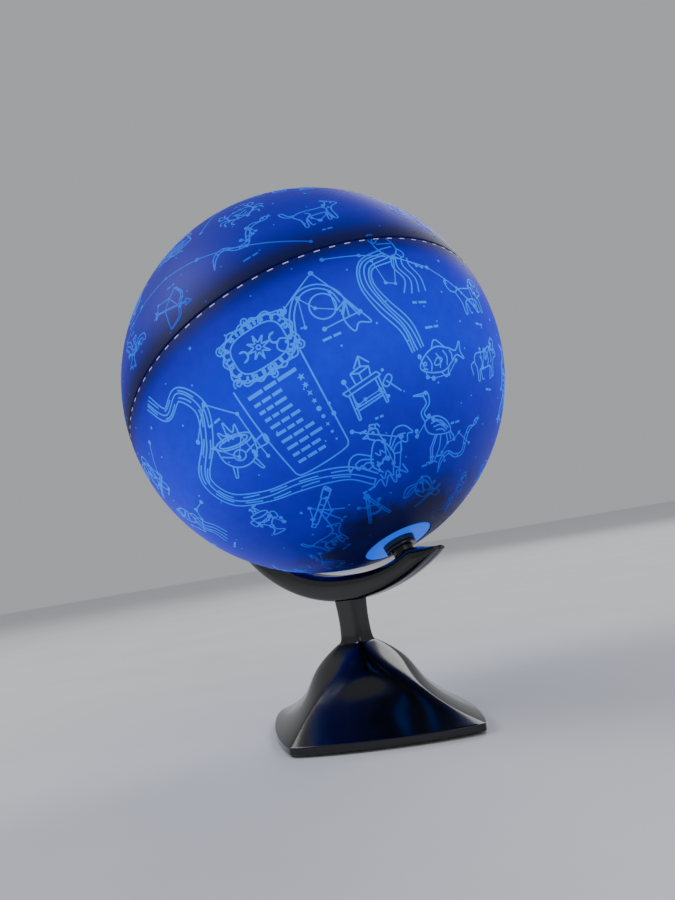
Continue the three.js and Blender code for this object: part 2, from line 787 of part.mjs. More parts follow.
function makeDoorScrew() {
  const [x, y] = doorScrewPlace;
  const bottom = doorBottom + headRecess;
  return geometryOf(solid(bar(screwHeadRadius - 0.8, bottom, bottom + 0.8, x, y))
    .subtract(solid(block(screwHeadRadius + 1, 0.35, 0, bottom + 0.4, x, y))));
}

// ---- the object ----------------------------------------------------------------------------
const object = new THREE.Group();
object.position.x = originShift;
const axis = new THREE.Group();
axis.rotation.y = -axisTilt;
axis.position.z = globeCentreHeight;
const button = new THREE.Group();
button.position.copy(buttonCentre);
button.quaternion.copy(buttonTurn);
object.add(axis, button);

function piece(parent, name, geometry, look) {
  const mesh = new THREE.Mesh(geometry, look);
  mesh.name = name;
  parent.add(mesh);
}

piece(object, 'foot_shell', makeFootShell(), blackGloss);
piece(object, 'foot_base', makeFootBase(), blackMatte);
baseScrewPlaces.forEach(([x, y], i) => {
  piece(object, `base_screw_${i + 1}`, screw(baseBottom + headRecess, postBoreDepth, x, y), steel);
});
rubberFootPlaces.forEach(([x, y], i) => {
  const foot = turned([
    [0, 0],
    [rubberFootRadius - 0.3, 0],
    [rubberFootRadius, 0.4],
    [rubberFootRadius, baseBottom - gap],
    [0, baseBottom - gap],
  ], 16);
  piece(object, `rubber_foot_${i + 1}`, geometryOf(solid(foot.translate(x, y, 0))), rubberBlack);
});
piece(object, 'foot_ballast', block(
  ballastHalfLength,
  ballastHalfWidth,
  ballastBottom,
  ballastBottom + ballastThickness,
  trayCentre.x,
  trayCentre.y,
), steel);
piece(object, 'battery_tray', makeTray(), blackMatte);
for (let row = 0; row < cellCount; row += 1) {
  piece(object, `battery_cell_${row + 1}`, makeCell(row), cellWrap);
}
[-1, 1].forEach((side, i) => {
  piece(object, `contact_plate_${i + 1}`, makeContact(side), steel);
});
piece(object, 'battery_door', makeDoor(), blackMatte);
piece(object, 'battery_door_screw', makeDoorScrew(), steel);

piece(button, 'button_bezel', makeBezel(), blackGloss);
piece(button, 'power_button', makeButton(), blackMatte);
piece(button, 'switch_body', block(switchSide / 2, switchSide / 2, switchBottom, switchTop), blackMatte);

piece(object, 'neck', makeNeck(), blackGloss);
piece(object, 'neck_bolt', makeNeckBolt(), steel);
const [armFront, armBack] = makeArmHalves();
piece(object, 'arm_front', armFront, blackGloss);
piece(object, 'arm_back', armBack, blackGloss);
armScrewAngles.forEach((angle, i) => {
  piece(object, `arm_screw_${i + 1}`, makeArmScrew(angle), steel);
});
piece(object, 'lamp_lead', makeLampLead(), leadGrey);
piece(object, 'battery_lead', makeBatteryLead(), leadGrey);

piece(axis, 'south_stem', makeStem(), steel);
piece(axis, 'stem_collar', washer(stemRadius + gap, bushOuter, collarTop - collarThickness, collarTop, 20), blackMatte);
piece(axis, 'lamp_holder', makeLampHolder(), blackMatte);
piece(axis, 'lamp_board', washer(stemBoreRadius, lampHolderRadius - 0.6, boardBottom, boardTop, 20), boardGreen);
for (let i = 0; i < ledCount; i += 1) {
  piece(axis, `led_${i + 1}`, makeLed(i), ledBlue);
}
piece(axis, 'lamp_diffuser', makeDiffuser(), diffuserWhite);
piece(axis, 'north_pin', bar(northPinRadius, globeRadius - northPinInsideLength, northPinTop), steel);
piece(axis, 'north_cap', makeNorthCap(), blackGloss);

piece(axis, 'north_hemisphere', makeHemisphere(1, northHoleRadius), globeBlue);
piece(axis, 'south_hemisphere', makeHemisphere(-1, southHoleRadius), globeBlue);
piece(axis, 'equator_ring', washer(
  equatorRingOuter - equatorRingWall,
  equatorRingOuter,
  -equatorRingHeight / 2,
  equatorRingHeight / 2,
  sphereSegments,
), blackMatte);
piece(axis, 'south_pole_ring', makePoleRing(), ringBlue);
piece(axis, 'south_bush', washer(bushInner, bushOuter, bushBottom, bushTop, 20), blackMatte);
piece(axis, 'north_bush', makeNorthBush(), blackMatte);

export default object;
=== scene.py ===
"""A lit star globe that turns on a tilted axis, held by a half-round arm on a black flared foot.

Lengths are in millimetres until a mesh is made; MM turns them to metres.
"""
import json
import math

import bmesh
import bpy
import numpy as np
from mathutils import Matrix, Vector


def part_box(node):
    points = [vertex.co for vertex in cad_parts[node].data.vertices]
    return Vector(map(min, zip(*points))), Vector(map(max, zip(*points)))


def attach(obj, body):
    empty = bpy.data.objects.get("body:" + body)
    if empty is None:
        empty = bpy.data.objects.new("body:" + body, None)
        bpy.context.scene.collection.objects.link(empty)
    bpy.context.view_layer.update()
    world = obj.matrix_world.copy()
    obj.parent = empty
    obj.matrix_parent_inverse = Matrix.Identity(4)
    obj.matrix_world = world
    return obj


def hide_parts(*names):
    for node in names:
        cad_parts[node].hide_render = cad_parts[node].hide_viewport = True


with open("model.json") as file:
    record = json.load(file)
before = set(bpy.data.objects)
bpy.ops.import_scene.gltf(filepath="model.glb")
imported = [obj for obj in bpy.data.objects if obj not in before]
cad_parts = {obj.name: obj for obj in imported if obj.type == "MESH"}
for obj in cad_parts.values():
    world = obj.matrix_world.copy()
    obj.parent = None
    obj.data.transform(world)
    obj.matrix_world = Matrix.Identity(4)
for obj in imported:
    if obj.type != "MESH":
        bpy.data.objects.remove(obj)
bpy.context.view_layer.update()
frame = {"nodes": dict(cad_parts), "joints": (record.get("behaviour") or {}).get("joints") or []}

MM = 0.001

# ---- sizes, in millimetres -------------------------------------------------------------------
globe_radius = 115.0
globe_wall = 1.6
seam_gap = 0.9
pole_ring_radius = 19.9
pole_ring_gap = 0.3
north_hole_radius = 8.3
arm_reach = globe_radius + 17.7   # from the globe's centre to the arm's outer edge
arm_width = 15.0
arm_thickness = 15.0
arm_end_thickness = 12.0
arm_tip_width = 9.0
arm_tip_thickness = 2.4
arm_tip_angle = math.radians(9.7)     # how far it runs past the globe's axis
arm_taper_angle = math.radians(23.5)  # over which it thins towards an end
arm_split = 0.15                  # half the open line between the arm's two halves
arm_screw_angles = [math.radians(a) for a in (8, 64, 120)]
foot_height = 47.5
foot_clearance = 1.5
foot_rim_top = 5.3
foot_wall = 1.8
neck_top = 71.6
button_height = 20.0              # of the button's centre on the flare, half way round its far left side
button_reach = 25.99              # of that centre from the foot's own, along X and along Y
print_proud = 0.09                # the line print's thickness
print_width = 0.88
screw_level = 6.5                 # of a clamp screw's head, from the arm's middle plane
screw_length = 11.6
screw_bore = 3.3
bore_floor = 4.9                  # from the arm's middle plane
button_bore = 7.85
button_seat = 9.15
lamp_circle = 7.0                 # of the three lamps' centres
seam_glint_step = 4.0               # in degrees

spin = next(j for j in frame["joints"] if j["name"] == "globe_spin")
globe_centre = np.array(spin["pos_m"]) / MM
tilt = math.atan2(-spin["axis"][0], spin["axis"][2])
foot_x = globe_centre[0]


def seat(origin, axis, side=(0.0, 1.0, 0.0)):
    """A 4 x 4 placing: z runs along the axis, y is the side made square to it, x = y cross z."""
    z = np.array(axis, float) / np.linalg.norm(axis)
    y = np.array(side, float) - np.dot(side, z) * z
    y /= np.linalg.norm(y)
    placing = np.eye(4)
    placing[:3, 0], placing[:3, 1], placing[:3, 2], placing[:3, 3] = np.cross(y, z), y, z, origin
    return placing


def placed(placing, points):
    return points @ placing[:3, :3].T + placing[:3, 3]


on_axis = seat(globe_centre, spin["axis"])
upright = seat((foot_x, 0, 0), (0, 0, 1))
press = next(j for j in frame["joints"] if j["name"] == "button_press")
on_button = seat((foot_x - button_reach, button_reach, button_height), -np.array(press["axis"]))


# ---- making meshes ---------------------------------------------------------------------------
def solid(name, points, faces, crease=35, even=True):
    """A closed mesh: doubled points merged, faces turned outwards, edges over the crease angle kept
    sharp."""
    mesh = bpy.data.meshes.new(name)
    mesh.from_pydata((np.asarray(points) * MM).tolist(), [], [list(map(int, f)) for f in faces])
    shape = bmesh.new()
    shape.from_mesh(mesh)
    bmesh.ops.remove_doubles(shape, verts=shape.verts, dist=2e-7)
    bmesh.ops.recalc_face_normals(shape, faces=shape.faces)
    shape.to_mesh(mesh)
    shape.free()
    mesh.shade_smooth()
    mesh.set_sharp_from_angle(angle=math.radians(crease))
    piece = bpy.data.objects.new(name, mesh)
    bpy.context.scene.collection.objects.link(piece)
    if even:
        piece.modifiers.new("even shading", "WEIGHTED_NORMAL").keep_sharp = True
    return piece


def grid_faces(rows, columns, wrap_rows, wrap_columns):
    """Four-sided faces between neighbours of a grid of points, closed round either way."""
    index = np.arange(rows * columns).reshape(rows, columns)
    if wrap_rows:
        index = np.vstack([index, index[:1]])
    if wrap_columns:
        index = np.hstack([index, index[:, :1]])
    return np.stack([index[:-1, :-1], index[:-1, 1:], index[1:, 1:], index[1:, :-1]], -1).reshape(-1, 4)


def surface(name, points, wrap_rows=False, wrap_columns=True, crease=35, even=True):
    rows, columns, _ = points.shape
    return solid(name, points.reshape(-1, 3), grid_faces(rows, columns, wrap_rows, wrap_columns), crease,
                 even)


def rounded(outline, soft, closed, pieces=5):
    """Each corner of the outline becomes a quadratic curve that starts and ends a soft length from
    it, with the corner as its control point."""
    corner = np.array(outline, float)

    def towards(other):
        length = np.maximum(np.linalg.norm(other - corner, axis=1, keepdims=True), 1e-9)
        return corner + (other - corner) * np.minimum(soft, 0.45 * length) / length

    start, end = towards(np.roll(corner, 1, 0)), towards(np.roll(corner, -1, 0))
    t = np.linspace(0, 1, pieces)[None, :, None]
    curve = (1 - t) ** 2 * start[:, None] + 2 * t * (1 - t) * corner[:, None] + t ** 2 * end[:, None]
    if not closed:
        curve[0], curve[-1] = corner[0], corner[-1]
    return curve.reshape(-1, 2)


def turned(name, outline, placing, soft=0.3, sides=96, crease=35):
    """The outline of (radius, height) with softened corners, carried round the placing's axis: x =
    radius cos, y = radius sin."""
    closed = outline[0][0] > 0
    profile = rounded(outline, soft, closed) if soft else np.array(outline, float)
    angle = np.linspace(0, 2 * np.pi, sides, endpoint=False)
    radius, height = profile[:, :1], profile[:, 1:]
    points = np.stack(np.broadcast_arrays(radius * np.cos(angle), radius * np.sin(angle), height), -1)
    return surface(name, placed(placing, points), wrap_rows=closed, crease=crease)


def cut(piece, *tools):
    """Takes the tools' shapes out of a piece and removes the tools."""
    for tool in tools:
        taking = piece.modifiers.new("cut", "BOOLEAN")
        taking.operation, taking.solver, taking.object = "DIFFERENCE", "EXACT", tool
    shading = [m for m in piece.modifiers if m.type == "WEIGHTED_NORMAL"]
    for m in shading:
        piece.modifiers.remove(m)
    graph = bpy.context.evaluated_depsgraph_get()
    mesh = bpy.data.meshes.new_from_object(piece.evaluated_get(graph))
    piece.modifiers.clear()
    piece.data = mesh
    for tool in tools:
        bpy.data.objects.remove(tool)
    mesh.shade_smooth()
    mesh.set_sharp_from_angle(angle=math.radians(35))
    piece.modifiers.new("even shading", "WEIGHTED_NORMAL").keep_sharp = True
    return piece


def refined(name, node, edge):
    """A copy of a plain piece: its triangles merged, its flat faces joined, and every edge broken by
    a small round."""
    shape = bmesh.new()
    shape.from_mesh(frame["nodes"][node].data)
    bmesh.ops.remove_doubles(shape, verts=shape.verts, dist=2e-7)
    bmesh.ops.dissolve_limit(shape, angle_limit=math.radians(0.5), verts=shape.verts, edges=shape.edges)
    mesh = bpy.data.meshes.new(name)
    shape.to_mesh(mesh)
    shape.free()
    mesh.shade_smooth()
    mesh.set_sharp_from_angle(angle=math.radians(35))
    piece = bpy.data.objects.new(name, mesh)
    bpy.context.scene.collection.objects.link(piece)
    bevel = piece.modifiers.new("broken edges", "BEVEL")
    bevel.width, bevel.segments, bevel.limit_method = edge * MM, 2, "ANGLE"
    bevel.angle_limit = math.radians(35)
    bevel.harden_normals = True
    return piece


def fit(piece, body, look, slot, *nodes):
    """Gives a finished piece its material, its body and the plain nodes that it stands for; the slot is not
    used.
    """
    piece.data.materials.clear()
    piece.data.materials.append(look)
    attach(piece, body)
    if nodes:
        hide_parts(*nodes)
    return piece


# ---- materials -------------------------------------------------------------------------------
def colour(hex_value, alpha=1.0):
    """sRGB hex to linear: below 0.04045 divided by 12.92, above it the 2.4 power of (v + 0.055) / 1.055."""
    srgb = np.array([hex_value >> 16 & 255, hex_value >> 8 & 255, hex_value & 255]) / 255
    linear = np.where(srgb <= 0.04045, srgb / 12.92, ((srgb + 0.055) / 1.055) ** 2.4)
    return (*linear.tolist(), alpha)


def per_mm(size):
    """A noise scale, in features a metre, from the size of one feature in millimetres."""
    return 1000.0 / size


def add(tree, kind, inputs=None, stops=None, **settings):
    """Adds a node: settings first, then a ramp's stops, then each input as a value or a link."""
    node = tree.nodes.new("ShaderNode" + kind)
    for name, value in settings.items():
        setattr(node, name, value)
    if stops:
        ramp = node.color_ramp
        while len(ramp.elements) < len(stops):
            ramp.elements.new(0.5)
        for element, (position, shade) in zip(ramp.elements, stops):
            element.position, element.color = position, shade
    for name, value in (inputs or {}).items():
        if isinstance(value, bpy.types.NodeSocket):
            tree.links.new(value, node.inputs[name])
        else:
            node.inputs[name].default_value = value
    return node


def finish(name, **sockets):
    """A material with one Principled shader; its even values are set on the shader's own sockets."""
    look = bpy.data.materials.new(name)
    look.use_nodes = True
    skin = look.node_tree.nodes["Principled BSDF"]
    for socket, value in sockets.items():
        skin.inputs[socket.replace("_", " ")].default_value = value
    place = add(look.node_tree, "TexCoord").outputs["Object"]
    return look, look.node_tree, skin, place


def textured(name, dark, light, grain, cloud, rough, bump, **sockets):
    """A moulded or worked skin: colour drifts between two shades over cloud-sized patches, roughness
    with it, and grain-sized noise raises the surface."""
    look, tree, skin, place = finish(name, **sockets)
    patches = add(tree, "TexNoise",
                  {"Vector": place, "Scale": per_mm(cloud), "Detail": 4.0, "Roughness": 0.6})
    shade = add(tree, "ValToRGB", {"Fac": patches.outputs["Fac"]},
                stops=[(0.32, colour(dark)), (0.68, colour(light))])
    sheen = add(tree, "MapRange", {"Value": patches.outputs["Fac"], "From Min": 0.3, "From Max": 0.7,
                                   "To Min": rough[0], "To Max": rough[1]})
    tooth = add(tree, "TexNoise", {"Vector": place, "Scale": per_mm(grain), "Detail": 2.0})
    raised = add(tree, "Bump", {"Height": tooth.outputs["Fac"], "Strength": bump, "Distance": 0.0002})
    tree.links.new(shade.outputs["Color"], skin.inputs["Base Color"])
    tree.links.new(sheen.outputs["Result"], skin.inputs["Roughness"])
    tree.links.new(raised.outputs["Normal"], skin.inputs["Normal"])
    return look


# Gloss ABS from a polished mould: near black, sharp reflections that waver a little over 3 mm.
gloss_abs = textured("gloss_abs_moulded", 0x050609, 0x0b0d12, 3.0, 26.0, (0.10, 0.19), 0.05, IOR=1.54)
# Satin ABS from a spark-eroded mould: an even fine tooth that greys the highlights.
satin_abs = textured("satin_abs_moulded", 0x101114, 0x191a1e, 0.5, 18.0, (0.48, 0.62), 0.35, IOR=1.54)
# Black stoved enamel on steel tube: smooth, with a faint orange-peel.
stem_enamel = textured("black_stoved_enamel", 0x060709, 0x0c0d10, 1.2, 12.0, (0.2, 0.32), 0.08, IOR=1.5)
# Moulded rubber: dull, dusty grey-black with a coarse skin.
rubber = textured("black_moulded_rubber", 0x141414, 0x232221, 0.7, 6.0, (0.78, 0.95), 0.5, IOR=1.52)
# Zinc-plated steel: bluish grey with cloudy reflections.
zinc_steel = textured("zinc_plated_steel", 0x8f949b, 0xc3c7cc, 0.6, 4.0, (0.22, 0.42), 0.12, Metallic=1.0)
# Nickel-plated spring steel: brighter and yellower than the zinc.
nickel = textured("nickel_plated_contact", 0xb0a898, 0xd8d2c6, 0.5, 5.0, (0.18, 0.34), 0.08, Metallic=1.0)
# Printed shrink sleeve on a cell: glossy film that follows the can, mid blue.
cell_film = textured("shrink_sleeve_film", 0x1f4f8a, 0x2c66a8, 1.5, 14.0, (0.2, 0.34), 0.06, IOR=1.5)
# Solder mask on glass-epoxy board: green, with the weave just showing.
solder_mask = textured("solder_mask_green", 0x0f4a2a, 0x1c6a3f, 0.7, 5.0, (0.3, 0.45), 0.12, IOR=1.55)
# Soft PVC insulation: smooth, dull grey-black.
pvc_lead = textured("soft_pvc_insulation", 0x1c1d20, 0x2b2c30, 0.8, 8.0, (0.45, 0.6), 0.08, IOR=1.53)
# Cast iron weight: dark, rough from the sand mould.
cast_iron = textured("sand_cast_iron", 0x26262a, 0x3a3a3e, 0.9, 7.0, (0.6, 0.8), 0.6, Metallic=1.0)


def lamplit(name, base, rough, stops, spread, mottle, strength=1.0):
    """Plastic lit from behind by the lamp, its light painted in as emission: its glow is a ramp over
    height along the globe's axis, -1 at the south pole and 1 at the north, whose edges wander near the
    south pole where the ramp paints the lamp cup's shadow, dimmed a little by mottling."""
    look, tree, skin, place = finish(name, Base_Color=colour(base), Roughness=rough, IOR=1.5,
                                     Specular_IOR_Level=0.18, Emission_Strength=strength)
    along = add(tree, "Mapping",
                {"Vector": place, "Location": Vector(globe_centre * MM), "Rotation": (0, -tilt, 0),
                 "Scale": (globe_radius * MM,) * 3}, vector_type="TEXTURE")
    height = add(tree, "SeparateXYZ", {"Vector": along.outputs["Vector"]}).outputs["Z"]
    # Noise that breaks up the edge of the painted shadow round the south pole.
    shadow_edge_noise = add(tree, "TexNoise", {"Vector": place, "Scale": per_mm(24.0), "Detail": 3.0, "Roughness": 0.55})
    near_pole = add(tree, "MapRange",
                    {"Value": height, "From Min": -0.62, "From Max": -0.95, "To Min": 0.015,
                     "To Max": spread})
    swing = add(tree, "Math", {0: shadow_edge_noise.outputs["Fac"], 1: 0.5}, operation="SUBTRACT")
    wander = add(tree, "Math", {0: swing.outputs["Value"], 1: near_pole.outputs["Result"], 2: height},
                 operation="MULTIPLY_ADD")
    level = add(tree, "MapRange", {"Value": wander.outputs["Value"], "From Min": -1.0, "From Max": 1.0})
    glow = add(tree, "ValToRGB", {"Fac": level.outputs["Result"]},
               stops=[((math.sin(math.radians(latitude)) + 1) / 2, colour(shade)) for latitude,
                      shade in stops])
    cloudy = add(tree, "TexNoise", {"Vector": place, "Scale": per_mm(7.0), "Detail": 5.0, "Roughness": 0.65})
    dim = add(tree, "MapRange", {"Value": cloudy.outputs["Fac"], "From Min": 0.3, "From Max": 0.7,
                                 "To Min": 1.0 - mottle, "To Max": 1.0})
    lit = add(tree, "VectorMath", {0: glow.outputs["Color"], 1: dim.outputs["Result"]}, operation="MULTIPLY")
    tree.links.new(lit.outputs["Vector"], skin.inputs["Emission Color"])
    wavy = add(tree, "TexNoise", {"Vector": place, "Scale": per_mm(2.0), "Detail": 2.0})
    raised = add(tree, "Bump", {"Height": wavy.outputs["Fac"], "Strength": 0.04, "Distance": 0.0002})
    tree.links.new(raised.outputs["Normal"], skin.inputs["Normal"])
    return look


# Blue-tinted polystyrene, thin enough to glow. Its glow is painted lamp light: a painted pool of
# light over the lamp's beam, painted shade along the seam where the inner ring stops the light, and a
# dark, blotched painted shadow round the lamp's own foot.
shell_stops = [
    (-90, 0x000034), (-72, 0x000038), (-66, 0x000074), (-58, 0x0000a0), (-44, 0x0006c4), (-28, 0x0020f2),
    (-14, 0x0018e4), (-6, 0x0004c0), (-2.4, 0x00007c), (0.5, 0x00003c), (2.6, 0x000050), (6.5, 0x00008c),
    (12, 0x0000ae), (50, 0x0000a6), (90, 0x000088),
]
shell_painted_glow = lamplit("blue_tinted_polystyrene", 0x01071c, 0.5, shell_stops, 0.2, 0.16)
# The print is the tint left off in fine lines, so more of the lamp comes through them. Their glow is
# painted lamp light too, with the same painted pool of light, painted seam shade and painted shadow
# round the lamp's foot.
line_stops = [
    (-90, 0x000c40), (-74, 0x00104c), (-66, 0x002484), (-58, 0x0040bc), (-45, 0x005cdc), (-28, 0x0074f4),
    (-8, 0x0068e8), (-1, 0x002ca8), (2, 0x002ca8), (10, 0x004ccc), (30, 0x0050d0), (90, 0x003cb0),
]
clear_line = lamplit("clear_print_line", 0x02102c, 0.5, line_stops, 0.1, 0.08, 1.7)
# Clear acrylic ring that pipes the lamp's light to its edge; that light is painted in as emission,
# brightest in a band part way across the ring.
ring_stops = [(-90, 0x0058e8), (-84, 0x0064f4), (-81, 0x0058e8), (90, 0x0050e0)]
acrylic_ring = lamplit("clear_acrylic_ring", 0x010a24, 0.45, ring_stops, 0.0, 0.06, 1.2)
# Opal polycarbonate over the lamp: milky, evenly lit.
opal = lamplit("opal_polycarbonate", 0xc8d4e8, 0.4, [(-90, 0x88b4ff), (90, 0x9cc0ff)], 0.0, 0.06)
# Clear epoxy lens of a lamp that is on.
lens = lamplit("lit_epoxy_lens", 0xd0e0ff, 0.15, [(-90, 0xb8d0ff), (90, 0xd0e0ff)], 0.0, 0.04, 2.0)
# Pale bars just south of the seam, a painted glint of lamp light where it leaks through the
# snap-fit slots: a warm pale violet glow.
seam_glint_glow = lamplit("bare_polystyrene_tab", 0xb0a0c8, 0.4, [(-90, 0x9080b8), (90, 0x9080b8)], 0.0, 0.1)


# ---- globe -----------------------------------------------------------------------------------
def shell_outline(side, hole):
    """A spherical shell's section: the outside arc from a softened lip at the seam to the hole round
    the pole, and back along the inside arc."""
    def arc(radius, first, count):
        last = math.acos(hole / radius)
        latitude = np.linspace(math.asin(first / radius), last, count)
        return np.stack([radius * np.cos(latitude), radius * np.sin(latitude)], -1)

    edge, inner = seam_gap / 2, globe_radius - globe_wall
    lip = [[inner + 0.3, edge], [globe_radius - 0.35, edge], [globe_radius - 0.1, edge + 0.12]]
    outline = np.vstack([arc(inner, edge + 0.3, 40)[::-1], lip, arc(globe_radius, edge + 0.35, 84)])
    return outline * (1, side)


for side, hole, node in ((1, north_hole_radius, "north_hemisphere"),
                         (-1, pole_ring_radius + pole_ring_gap, "south_hemisphere")):
    shell = turned(node.replace("hemisphere", "shell"), shell_outline(side, hole), on_axis, soft=0,
                   sides=192)
    fit(shell, "globe", shell_painted_glow, "globe_shell", node)

inside = globe_radius - globe_wall
fit(turned("seam_ring", [(110.8, -6), (112.4, -6), (112.4, 6), (110.8, 6)], on_axis, 0.4, 160),
    "globe", satin_abs, "globe_shell", "equator_ring")

ring_face = -math.sqrt(globe_radius ** 2 - (pole_ring_radius + pole_ring_gap) ** 2)
fit(turned("pole_ring", [(9.3, ring_face + 0.2), (10.2, ring_face - 0.1), (15, ring_face - 0.25),
                         (19.0, ring_face - 0.05), (19.9, ring_face + 0.5), (19.9, ring_face + 2.4),
                         (23.8, ring_face + 2.4), (23.8, ring_face + 4.2), (9.3, ring_face + 4.2)], on_axis,
           0.35, 128), "globe", acrylic_ring, "pole_ring", "south_pole_ring")
fit(turned("south_bearing", [(6.35, -115.4), (9.0, -115.4), (9.0, -107), (6.35, -107)], on_axis, 0.4),
    "globe", satin_abs, "stand_matte", "south_bush")
north_lip = math.sqrt(inside ** 2 - 12.3 ** 2) - 0.4
fit(turned("north_bearing", [(3.35, north_lip - 4), (8.0, north_lip - 4), (8.0, north_lip - 2),
                             (12.3, north_lip - 2), (12.3, north_lip), (8.0, north_lip), (8.0, 115.3),
                             (3.35, 115.3)], on_axis, 0.35), "globe", satin_abs, "stand_matte",
    "north_bush")


